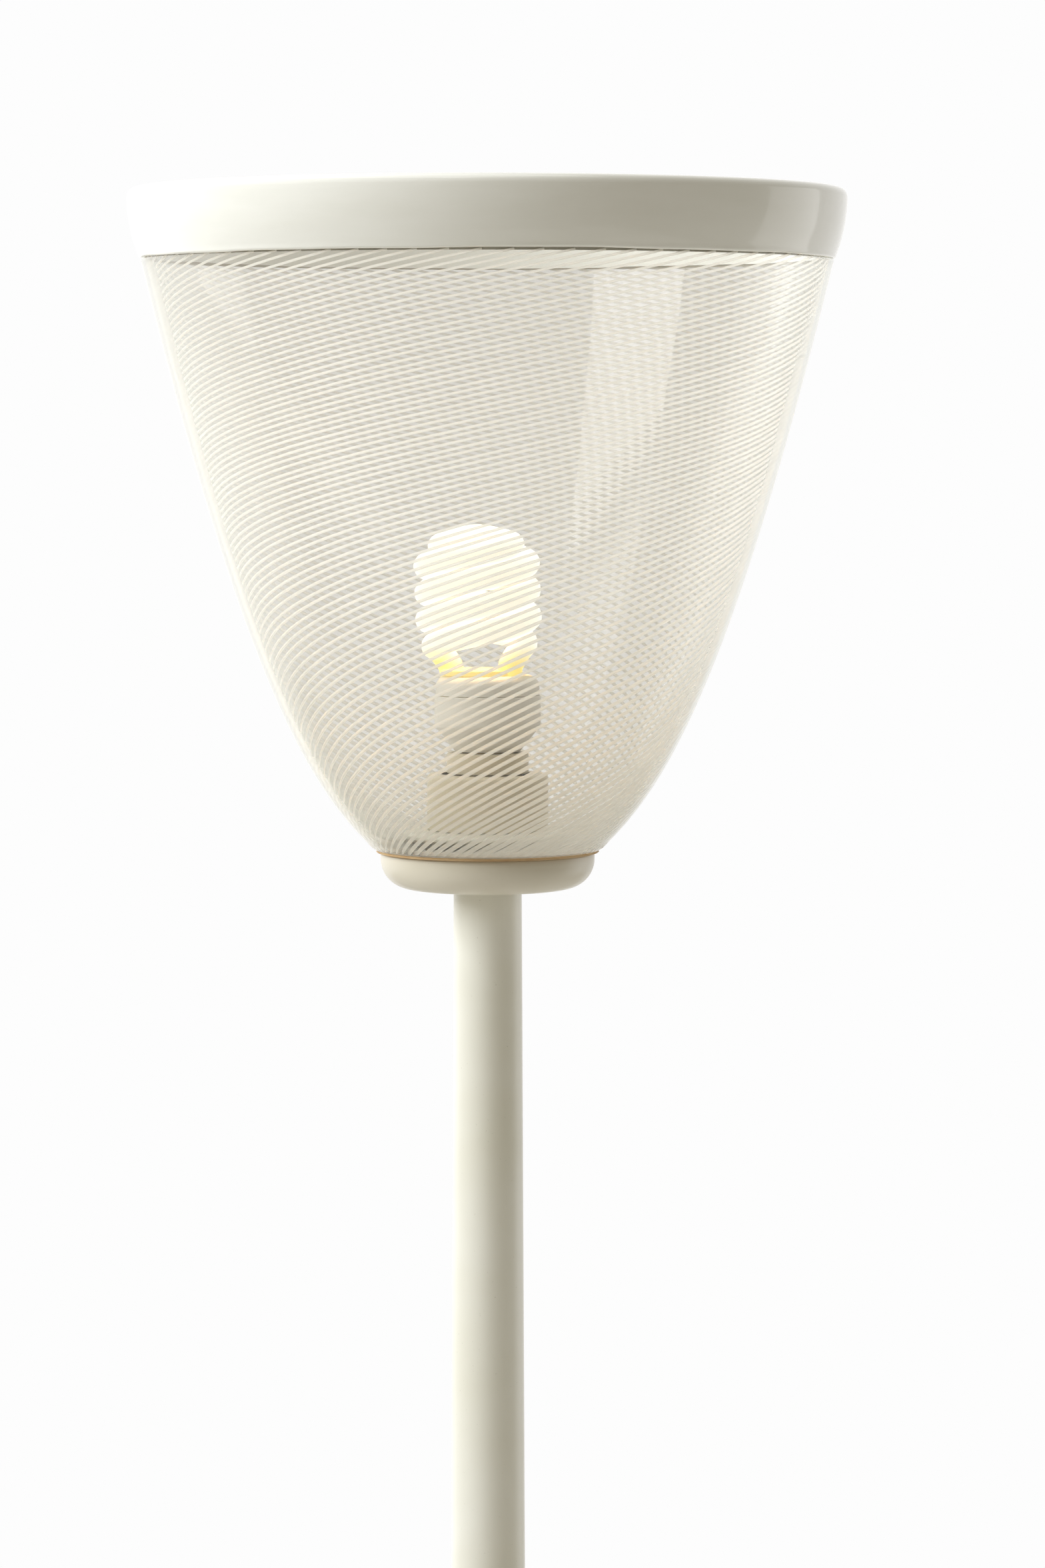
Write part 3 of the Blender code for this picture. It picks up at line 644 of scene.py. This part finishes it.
def cane_tree(material):
    """Lay a strand along the path and repeat it round the axis, each a little out of step."""
    tree = bpy.data.node_groups.new("laid_canes", 'GeometryNodeTree')
    tree.interface.new_socket("Path", in_out='INPUT', socket_type='NodeSocketGeometry')
    for name, kind in (("Count", 'NodeSocketInt'), ("Flatness", 'NodeSocketFloat'),
                       ("Out of step", 'NodeSocketFloat'), ("Wander", 'NodeSocketFloat')):
        tree.interface.new_socket(name, in_out='INPUT', socket_type=kind)
    tree.interface.new_socket("Canes", in_out='OUTPUT', socket_type='NodeSocketGeometry')
    given = add(tree, "NodeGroupInput")
    ring = add(tree, "GeometryNodeCurvePrimitiveCircle", {"Resolution": 6, "Radius": 1.0})
    oval = add(tree, "ShaderNodeCombineXYZ", {"X": given.outputs["Flatness"], "Y": 1.0, "Z": 1.0})
    profile = add(tree, "GeometryNodeTransform", {
        "Geometry": ring.outputs[0], "Scale": oval.outputs[0]})
    width = add(tree, "GeometryNodeInputRadius")
    upright = add(tree, "GeometryNodeSetCurveNormal", {"Curve": given.outputs["Path"]}, mode='Z_UP')
    strand = add(tree, "GeometryNodeCurveToMesh", {
        "Curve": upright.outputs[0], "Profile Curve": profile.outputs[0], "Fill Caps": True,
        "Scale": width.outputs[0]})
    points = add(tree, "GeometryNodePoints", {"Count": given.outputs["Count"]})
    index = add(tree, "GeometryNodeInputIndex").outputs[0]
    step = add(tree, "ShaderNodeMath", {0: math.tau, 1: given.outputs["Count"]}, operation='DIVIDE')
    turn = add(tree, "ShaderNodeMath", {0: index, 1: step.outputs[0]}, operation='MULTIPLY')
    low = add(tree, "ShaderNodeMath", {0: given.outputs["Out of step"], 1: -1.0},
              operation='MULTIPLY')
    slip = add(tree, "FunctionNodeRandomValue", {
        2: low.outputs[0], 3: given.outputs["Out of step"], "ID": index, "Seed": 7})
    total = add(tree, "ShaderNodeMath", {0: turn.outputs[0], 1: slip.outputs[1]}, operation='ADD')
    angles = add(tree, "ShaderNodeCombineXYZ", {"Z": total.outputs[0]})
    laid = add(tree, "GeometryNodeInstanceOnPoints", {
        "Points": points.outputs[0], "Instance": strand.outputs[0], "Rotation": angles.outputs[0]})
    real = add(tree, "GeometryNodeRealizeInstances", {"Geometry": laid.outputs[0]})
    place = add(tree, "GeometryNodeInputPosition").outputs[0]
    drift = add(tree, "ShaderNodeTexNoise", {"Vector": place, "Scale": 14.0, "Detail": 1.0})
    centred = add(tree, "ShaderNodeMath", {0: drift.outputs["Fac"], 1: 0.5}, operation='SUBTRACT')
    amount = add(tree, "ShaderNodeMath", {0: centred.outputs[0], 1: given.outputs["Wander"]},
                 operation='MULTIPLY')
    round_axis = add(tree, "ShaderNodeVectorRotate", {
        "Vector": place, "Axis": (0, 0, 1), "Angle": amount.outputs[0]}, rotation_type='AXIS_ANGLE')
    moved = add(tree, "GeometryNodeSetPosition", {
        "Geometry": real.outputs[0], "Position": round_axis.outputs[0]})
    smooth = add(tree, "GeometryNodeSetShadeSmooth", {"Geometry": moved.outputs[0]})
    painted = add(tree, "GeometryNodeSetMaterial", {
        "Geometry": smooth.outputs[0], "Material": material})
    add(tree, "NodeGroupOutput", {0: painted.outputs[0]})
    return tree


def grown(name, base, tree, inputs):
    """Run a geometry tree on an object and keep the result as a plain mesh."""
    modifier = base.modifiers.new("grow", 'NODES')
    modifier.node_group = tree
    for item in tree.interface.items_tree:
        if item.in_out == 'INPUT' and item.name in inputs:
            modifier[item.identifier] = inputs[item.name]
    graph = bpy.context.evaluated_depsgraph_get()
    mesh = bpy.data.meshes.new_from_object(base.evaluated_get(graph))
    bpy.data.objects.remove(base, do_unlink=True)
    made = bpy.data.objects.new(name, mesh)
    bpy.context.scene.collection.objects.link(made)
    return made


def white_cane_glass():
    """Thin strands of milky glass, which scatter the light and let a little straight through."""
    made, tree = new_material("white_cane_glass")
    place = add(tree, "ShaderNodeTexCoord").outputs["Object"]
    drawn = add(tree, "ShaderNodeTexNoise", {"Vector": place, "Scale": 60.0, "Detail": 2.0})
    colour = add(tree, "ShaderNodeMix", {
        0: drawn.outputs["Fac"], 6: linear("#fcfbf8"), 7: linear("#f8f6f1")}, data_type='RGBA')
    body = add(tree, "ShaderNodeBsdfPrincipled", {
        "Base Color": colour.outputs[2], "Roughness": 0.5, "Specular IOR Level": 0.05})
    glow = add(tree, "ShaderNodeBsdfTranslucent", {"Color": colour.outputs[2]})
    milk = add(tree, "ShaderNodeMixShader", {0: 0.8, 1: body.outputs[0], 2: glow.outputs[0]})
    straight = add(tree, "ShaderNodeBsdfTransparent", {"Color": linear("#fbfaf6")})
    shader = add(tree, "ShaderNodeMixShader", {0: 0.28, 1: milk.outputs[0], 2: straight.outputs[0]})
    add(tree, "ShaderNodeOutputMaterial", {"Surface": shader.outputs[0]})
    return made


CANE_GLASS = white_cane_glass()
canes = grown("bowl_canes", strand_curve(), cane_tree(CANE_GLASS), {
    "Count": CANE_COUNT, "Flatness": 0.4, "Out of step": math.radians(0.35), "Wander": 0.03})
finish(canes, CANE_GLASS, nodes=["shade_bowl"])


# ---------------------------------------------------------------- rim
# A thick band of opaque white glass laid round the bowl's mouth while hot, so its lip is round
# and fire polished and its lower edge runs a little unevenly.

rim_low, rim_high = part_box("shade_rim")
RIM_RADIUS = rim_high.x
LIP_ROUND = 4.3 * MM


def opaque_white_glass(name, light, deep):
    """Dense white glass laid on hot: fire polished, so it is glossy, with slow waves along it."""
    made, tree = new_material(name)
    place = add(tree, "ShaderNodeTexCoord").outputs["Object"]
    cords = add(tree, "ShaderNodeMapping", {"Vector": place, "Scale": (1.0, 1.0, 5.0)})
    waves = add(tree, "ShaderNodeTexNoise", {
        "Vector": cords.outputs[0], "Scale": 22.0, "Detail": 3.0})
    colour = add(tree, "ShaderNodeMix", {
        0: waves.outputs["Fac"], 6: linear(light), 7: linear(deep)}, data_type='RGBA')
    bump = add(tree, "ShaderNodeBump", {
        "Height": waves.outputs["Fac"], "Strength": 0.18, "Distance": 1.2 * MM})
    shader = add(tree, "ShaderNodeBsdfPrincipled", {
        "Base Color": colour.outputs[2], "Roughness": 0.12, "IOR": 1.5, "Coat Weight": 0.4,
        "Coat Roughness": 0.03, "Normal": bump.outputs[0]})
    add(tree, "ShaderNodeOutputMaterial", {"Surface": shader.outputs[0]})
    return made


lip_at = (RIM_RADIUS - LIP_ROUND, rim_high.z - LIP_ROUND)
rim_outer = [(RIM_RADIUS, rim_high.z - LIP_ROUND)]
for i in range(1, 15):
    t = i / 14
    fall = (rim_high.z - LIP_ROUND) + (rim_low.z + 1.6 * MM - rim_high.z + LIP_ROUND) * t
    rim_outer.append((RIM_RADIUS - 5.2 * MM * t ** 1.9, fall))
rim_foot = quarter(165.5 * MM, rim_low.z + 1.6 * MM, 1.6 * MM, -15, -90, 6)
rim_inner = [(161.2 * MM, rim_low.z), (163.2 * MM, LIP + 299 * MM)]
rim_outline = quarter(*lip_at, LIP_ROUND, 180, 6, 16) + rim_outer + rim_foot + rim_inner
rim = lathe("bowl_rim", rim_outline, 240)
for vertex in rim.data.vertices:
    lowness = max(0.0, 1 - (vertex.co.z - rim_low.z) / (9 * MM))
    around = math.atan2(vertex.co.x, -vertex.co.y)
    uneven = 0.5 + 0.28 * math.sin(3 * around + 1) + 0.14 * math.sin(8 * around) \
        + 0.08 * math.sin(19 * around + 2)
    vertex.co.z += 1.1 * MM * lowness * uneven
rim.data.materials.append(opaque_white_glass("opaque_white_glass", "#e8e8e2", "#e1e1d9"))
# The band's inner faces get a darker copy of the same white glass, as painted shade inside the
# bowl.
rim.data.materials.append(opaque_white_glass("white_glass_inside_painted_shade", "#dcdcd5", "#d3d3cb"))
for face in rim.data.polygons:
    if math.hypot(face.center.x, face.center.y) < 164 * MM:
        face.material_index = 1
finish(rim, None, nodes=["shade_rim"])

# A grey ring just inside the band's lower edge, broken by the canes before it: painted shade for
# the dark line where the band meets the clear glass.
shade_line_outline = [(162.9 * MM, rim_low.z + 1.2 * MM), (162.9 * MM, rim_low.z - 0.35 * MM),
                (162.5 * MM, rim_low.z - 0.35 * MM), (162.5 * MM, rim_low.z + 1.2 * MM)]
PAINTED_SHADE_LINE = moulded("painted_shade_line", "#9b978b", "#b3afa4", 0.2, 300.0)
finish(lathe("rim_painted_shade_line", shade_line_outline, 240), PAINTED_SHADE_LINE, nodes=["shade_rim"])


# ---------------------------------------------------------------- clamp
# Inside the bowl a dished steel disc with a rubber ring under it holds the glass down on the
# cup; the nut on the threaded tube pulls the two together.

disc_low, disc_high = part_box("clamp_disc")
disc_outline = eased([
    (NIPPLE_HOLE, disc_high.z, 0), (34 * MM, disc_high.z, 10 * MM),
    (39.6 * MM, disc_high.z - 0.8 * MM, 2.5 * MM), (disc_high.x, disc_high.z - 2.2 * MM, 1 * MM),
    (disc_high.x, disc_low.z, 0.4 * MM), (disc_high.x - STEEL_SHEET, disc_low.z, 0.4 * MM),
    (39.2 * MM, disc_high.z - 2.4 * MM, 1 * MM), (34 * MM, disc_high.z - 1.3 * MM, 6 * MM),
    (NIPPLE_HOLE, disc_high.z - 1.3 * MM, 0)])
finish(lathe("clamping_disc", disc_outline), CREAM, nodes=["clamp_disc"])
dress(moulded("pale_silicone_rubber", "#cfcbc0", "#c2beb2", 0.6), "clamp_gasket")


# ---------------------------------------------------------------- lampholder
# E27 lampholder in beige phenolic: a wide skirt that stands on the disc, a barrel that comes up
# through it, and a ring screwed on the barrel. Brass and ceramic inside.

BEIGE = moulded("beige_phenolic", "#dcd3bd", "#d4cab2", 0.35)
skirt_low, skirt_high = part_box("holder_skirt")
SKIRT_WALL = 2 * MM
BARREL = 16.8 * MM
GROOVE = 22.6 * MM
skirt_outline = eased([
    (BARREL + 0.6 * MM, skirt_high.z - 1.2 * MM, 0.3 * MM),
    (GROOVE, skirt_high.z - 1.2 * MM, 0.2 * MM),
    (GROOVE, skirt_high.z, 0.4 * MM), (skirt_high.x, skirt_high.z, 2.6 * MM),
    (skirt_high.x, skirt_low.z, 0.5 * MM), (skirt_high.x - SKIRT_WALL, skirt_low.z, 0.4 * MM),
    (skirt_high.x - SKIRT_WALL, skirt_high.z - SKIRT_WALL, 1 * MM),
    (BARREL + 0.6 * MM, skirt_high.z - SKIRT_WALL, 0.3 * MM)])
skirt = lathe("holder_cover", skirt_outline)
skirt.data.materials.append(BEIGE)
# The floor of the groove round the lock ring is coloured dark grey, as painted shade in the recess.
skirt.data.materials.append(moulded("painted_shade_in_the_groove", "#6b675c", "#7a7569", 0.9))
for face in skirt.data.polygons:
    inside_groove = math.hypot(face.center.x, face.center.y) < GROOVE
    if inside_groove and face.center.z > skirt_high.z - 1.4 * MM:
        face.material_index = 1
finish(skirt, None, nodes=["holder_skirt"])

ring_low, ring_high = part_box("holder_ring")
ring_outline = eased([
    (BARREL + 0.3 * MM, ring_high.z, 0.4 * MM), (ring_high.x, ring_high.z, 1.4 * MM),
    (ring_high.x, ring_low.z, 0.5 * MM), (BARREL + 0.3 * MM, ring_low.z, 0.3 * MM)])
finish(lathe("holder_lock_ring", ring_outline, 120), BEIGE, nodes=["holder_ring"])
dress(BEIGE, "holder_body")

# The screw shell of the holder, and the bulb's cap in it, are rolled to the same thread.
PITCH = 25.4 * MM / 7
THREAD_DEPTH = 0.45 * MM
BRASS_SHEET = 0.4 * MM


def screw_shell(name, low, high, radius, narrowing=0.0, sides=96):
    """A sheet shell with a rolled right-hand thread that runs out at both ends."""
    rows = round(12 * (high - low) / PITCH)
    levels = [low + (high - low) * row / rows for row in range(rows + 1)]
    bm = bmesh.new()
    rings = []
    for inwards, heights in ((0, levels), (BRASS_SHEET, levels[::-1])):
        for z in heights:
            depth = THREAD_DEPTH * min(1.0, (z - low) / (2 * MM), (high - z) / (1.5 * MM))
            foot = narrowing * max(0.0, 1 - (z - low) / (1.8 * MM))
            ring = []
            for i in range(sides):
                angle = math.tau * i / sides
                r = radius - foot - inwards + depth * math.cos(math.tau * z / PITCH - angle)
                ring.append(bm.verts.new((r * math.cos(angle), r * math.sin(angle), z)))
            rings.append(ring)
    for ring, following in zip(rings, rings[1:] + rings[:1]):
        for i in range(sides):
            j = (i + 1) % sides
            bm.faces.new((ring[i], ring[j], following[j], following[i]))
    mesh = bpy.data.meshes.new(name)
    bm.to_mesh(mesh)
    bm.free()
    mesh.shade_smooth()
    mesh.set_sharp_from_angle(angle=math.radians(50))
    made = bpy.data.objects.new(name, mesh)
    bpy.context.scene.collection.objects.link(made)
    return made


shell_low, shell_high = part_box("holder_screw_shell")
finish(screw_shell("holder_thread", shell_low.z, shell_high.z, 13.55 * MM), BRASS,
       nodes=["holder_screw_shell"])
dress(BRASS, "holder_contact", "terminal_live", "terminal_neutral")
dress(moulded("steatite_ceramic", "#e2ded2", "#d8d3c4", 0.5), "holder_plate")


# ---------------------------------------------------------------- bulb
# Compact fluorescent bulb: a rolled E27 cap, a two-part housing of matt white polycarbonate, and
# a 12 mm glass tube wound in a double spiral, burning white with yellower ends.

plate_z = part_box("bulb_housing_upper")[1].z


def burning(name, colour, ends, strength):
    """Glowing surface, yellower low down by the housing: the lit glass tube with its phosphor coat,
    and the painted glow on the cement boss.
    """
    made, tree = new_material(name)
    place = add(tree, "ShaderNodeTexCoord").outputs["Object"]
    coat = add(tree, "ShaderNodeTexNoise", {"Vector": place, "Scale": 300.0, "Detail": 2.0})
    base = add(tree, "ShaderNodeMix", {
        0: coat.outputs["Fac"], 6: linear("#c8bf9c"), 7: linear("#b8ae8a")}, data_type='RGBA')
    level = add(tree, "ShaderNodeSeparateXYZ", {"Vector": place})
    above = add(tree, "ShaderNodeMapRange", {
        "Value": level.outputs["Z"], "From Min": plate_z + 5 * MM, "From Max": plate_z + 15 * MM})
    light = add(tree, "ShaderNodeMix", {
        0: above.outputs[0], 6: linear(ends), 7: linear(colour)}, data_type='RGBA')
    shader = add(tree, "ShaderNodeBsdfPrincipled", {
        "Base Color": base.outputs[2], "Roughness": 0.15, "Emission Color": light.outputs[2],
        "Emission Strength": strength})
    add(tree, "ShaderNodeOutputMaterial", {"Surface": shader.outputs[0]})
    return made


housing_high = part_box("bulb_housing_lower")[1]
SPIRAL_RADIUS = 24.75 * MM
SPIRAL_TOP = LIP + 151.4 * MM
SPIRAL_FOOT = LIP + 97 * MM
SPIRAL_TURNS = 2.1
SPIRAL_START = math.radians(-20)
SPIRAL_LEAN = math.radians(-2.0)
SPIRAL_SHIFT = -3.4 * MM
LEG_SHIFT = -3.2 * MM
LEG = 16.1 * MM
TUBE = 6.0 * MM


def leaned(point, shift):
    """The spiral is cemented a little askew in its housing."""
    pivot = Vector((0, 0, plate_z))
    return Matrix.Rotation(SPIRAL_LEAN, 3, 'Y') @ (point - pivot) + pivot + Vector((shift, 0, 0))


def spiral_radius(share):
    """Radius of the spiral: narrower in its first turn, and closing over the top."""
    opening = max(0.0, 1 - share / 0.25)
    closing = max(0.0, (share - 0.86) / 0.14)
    return (SPIRAL_RADIUS - 3.2 * MM * opening ** 2) * math.sqrt(max(0.0, 1 - closing ** 2))


def arm_points():
    """One arm of the spiral as (radius, angle, height, shift), from the housing to the top."""
    arm = [(LEG, -0.2, LIP + 78 * MM, LEG_SHIFT), (LEG, -0.2, plate_z + 2.5 * MM, LEG_SHIFT),
           (LEG + 2.4 * MM, -0.2, plate_z + 7 * MM, (LEG_SHIFT + SPIRAL_SHIFT) / 2)]
    steps = 56
    for i in range(steps):
        share = i / steps
        bridge = max(0.0, (share - 0.72) / 0.28)
        sag = 3 * MM * bridge ** 2 * (1 - bridge ** 24)
        height = SPIRAL_FOOT + (SPIRAL_TOP - SPIRAL_FOOT) * share - sag
        arm.append((spiral_radius(share), math.tau * SPIRAL_TURNS * share, height, SPIRAL_SHIFT))
    return arm


def spiral():
    """The glass tube: up one arm, over the top and down the other."""
    arms = []
    for way in (1, -1):
        arm = []
        for radius, angle, height, shift in arm_points():
            turn = SPIRAL_START + angle
            place = (way * radius * math.cos(turn), way * radius * math.sin(turn), height)
            arm.append(leaned(Vector(place), shift))
        arms.append(arm)
    top = [leaned(Vector((0, 0, SPIRAL_TOP)), SPIRAL_SHIFT)]
    line = arms[0] + top + arms[1][::-1]
    curve = bpy.data.curves.new("bulb_tube", 'CURVE')
    curve.dimensions = '3D'
    curve.bevel_depth = TUBE
    curve.bevel_resolution = 6
    curve.resolution_u = 3
    curve.use_fill_caps = True
    spline = curve.splines.new('NURBS')
    spline.points.add(len(line) - 1)
    for point, place in zip(spline.points, line):
        point.co = (*place, 1.0)
    spline.order_u = 3
    spline.use_endpoint_u = True
    made = bpy.data.objects.new("bulb_tube", curve)
    bpy.context.scene.collection.objects.link(made)
    graph = bpy.context.evaluated_depsgraph_get()
    mesh = bpy.data.meshes.new_from_object(made.evaluated_get(graph))
    bpy.data.objects.remove(made, do_unlink=True)
    bm = bmesh.new()
    bm.from_mesh(mesh)
    bmesh.ops.remove_doubles(bm, verts=bm.verts, dist=0.01 * MM)
    bm.to_mesh(mesh)
    bm.free()
    mesh.shade_smooth()
    mesh.materials.clear()
    mesh.materials.append(burning("lit_phosphor_tube", "#fffaee", "#fbdf6e", 0.95))
    piece = bpy.data.objects.new("bulb_glass_spiral", mesh)
    bpy.context.scene.collection.objects.link(piece)
    return piece


finish(spiral(), None, "bulb", ["bulb_spiral"])


def light_inside(name, place, watts, colour, radius):
    """A soft round light in the bowl that neither the camera nor a reflection sees."""
    data = bpy.data.lights.new(name, 'POINT')
    data.energy = watts
    data.color = linear(colour)[:3]
    data.shadow_soft_size = radius
    made = bpy.data.objects.new(name, data)
    bpy.context.scene.collection.objects.link(made)
    made.location = place
    made.visible_camera = False
    made.visible_glossy = False


# The light that the burning tube throws, and the light that the white canes pass on between them.
light_inside("bulb_light", (SPIRAL_SHIFT - 1.5 * MM, 0, (SPIRAL_TOP + SPIRAL_FOOT) / 2), 0.6,
             "#ffc98a", 31 * MM)
light_inside("bowl_light", (0, 0, LIP + 200 * MM), 0.55, "#f3f6ff", 55 * MM)

POLYCARBONATE = moulded("matt_white_polycarbonate", "#f0eee8", "#e8e5dd", 0.5)
seam = housing_high.z
base_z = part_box("bulb_housing_lower")[0].z
belly = housing_high.x
housing_outline = eased([
    (belly, seam, 0.5 * MM), (belly, LIP + 59.5 * MM, 4 * MM), (18.5 * MM, LIP + 50.5 * MM, 3 * MM),
    (15.6 * MM, base_z, 0.8 * MM), (11.5 * MM, base_z, 0.3 * MM),
    (11.5 * MM, base_z + 1.5 * MM, 0.3 * MM),
    (14.1 * MM, base_z + 1.5 * MM, 0.5 * MM), (17 * MM, LIP + 51.5 * MM, 2 * MM),
    (belly - 1.5 * MM, LIP + 60.2 * MM, 3 * MM), (belly - 1.5 * MM, seam, 0.4 * MM)])
housing = lathe("bulb_housing", housing_outline)
housing.data.materials.append(POLYCARBONATE)
# The lowest 1.4 mm of the housing, next to the holder's ring, is coloured dark grey as painted
# shade.
housing.data.materials.append(moulded("painted_shade_at_cap_joint", "#86827a", "#918d83", 0.7))
for face in housing.data.polygons:
    if face.center.z < base_z + 1.4 * MM:
        face.material_index = 1
finish(housing, None, "bulb", ["bulb_housing_lower"])

# The upper half: a cap with a round shoulder. The tube's two ends go down into it through a low
# boss of cement that the heat has turned yellow; the boss also gets a painted glow, as though lit.
upper_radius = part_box("bulb_housing_upper")[1].x
shoulder = 6 * MM
upper_outline = [(0, plate_z), (8 * MM, plate_z), (16 * MM, plate_z)] + [
    (r, z) for r, z in quarter(upper_radius - shoulder, plate_z - shoulder, shoulder, 90, 0)] + [
    (upper_radius, seam + 0.3 * MM), (upper_radius - 1.5 * MM, seam + 0.3 * MM),
    (upper_radius - 1.5 * MM, plate_z - shoulder),
    (upper_radius - shoulder, plate_z - 1.5 * MM), (0, plate_z - 1.5 * MM)]
finish(lathe("bulb_shoulder", upper_outline, ring=False), POLYCARBONATE, "bulb",
       ["bulb_housing_upper"])
GLOWING_YELLOWED_CEMENT = burning("heat_yellowed_cement_painted_glow", "#fbe07a", "#f3d468", 0.75)
boss_outline = eased([
    (0, plate_z + 2.8 * MM, 0), (19 * MM, plate_z + 2.8 * MM, 1.2 * MM),
    (19.6 * MM, plate_z + 0.1 * MM, 0.2 * MM), (0, plate_z + 0.1 * MM, 0)])
boss = lathe("bulb_tube_seat", boss_outline, 96, ring=False)
for vertex in boss.data.vertices:
    vertex.co.x += LEG_SHIFT
finish(boss, GLOWING_YELLOWED_CEMENT, "bulb", ["bulb_housing_upper"])

cap_low, cap_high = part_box("bulb_cap_shell")
finish(screw_shell("bulb_screw_cap", cap_low.z, cap_high.z, 12.65 * MM, 1.65 * MM), BRASS,
       "bulb", ["bulb_cap_shell"])
dress(moulded("black_vitrite", "#161616", "#202020", 0.2), "bulb_cap_insulator")
dress(ZINC, "bulb_tip_contact")
dress(moulded("phenolic_board", "#7c6a3a", "#8c7845", 0.6), "ballast_board")
dress(moulded("sintered_ferrite", "#2a2a2c", "#38383a", 0.5), "ballast_choke")
dress(moulded("capacitor_sleeve", "#1d2330", "#262d3c", 0.35), "ballast_capacitor")
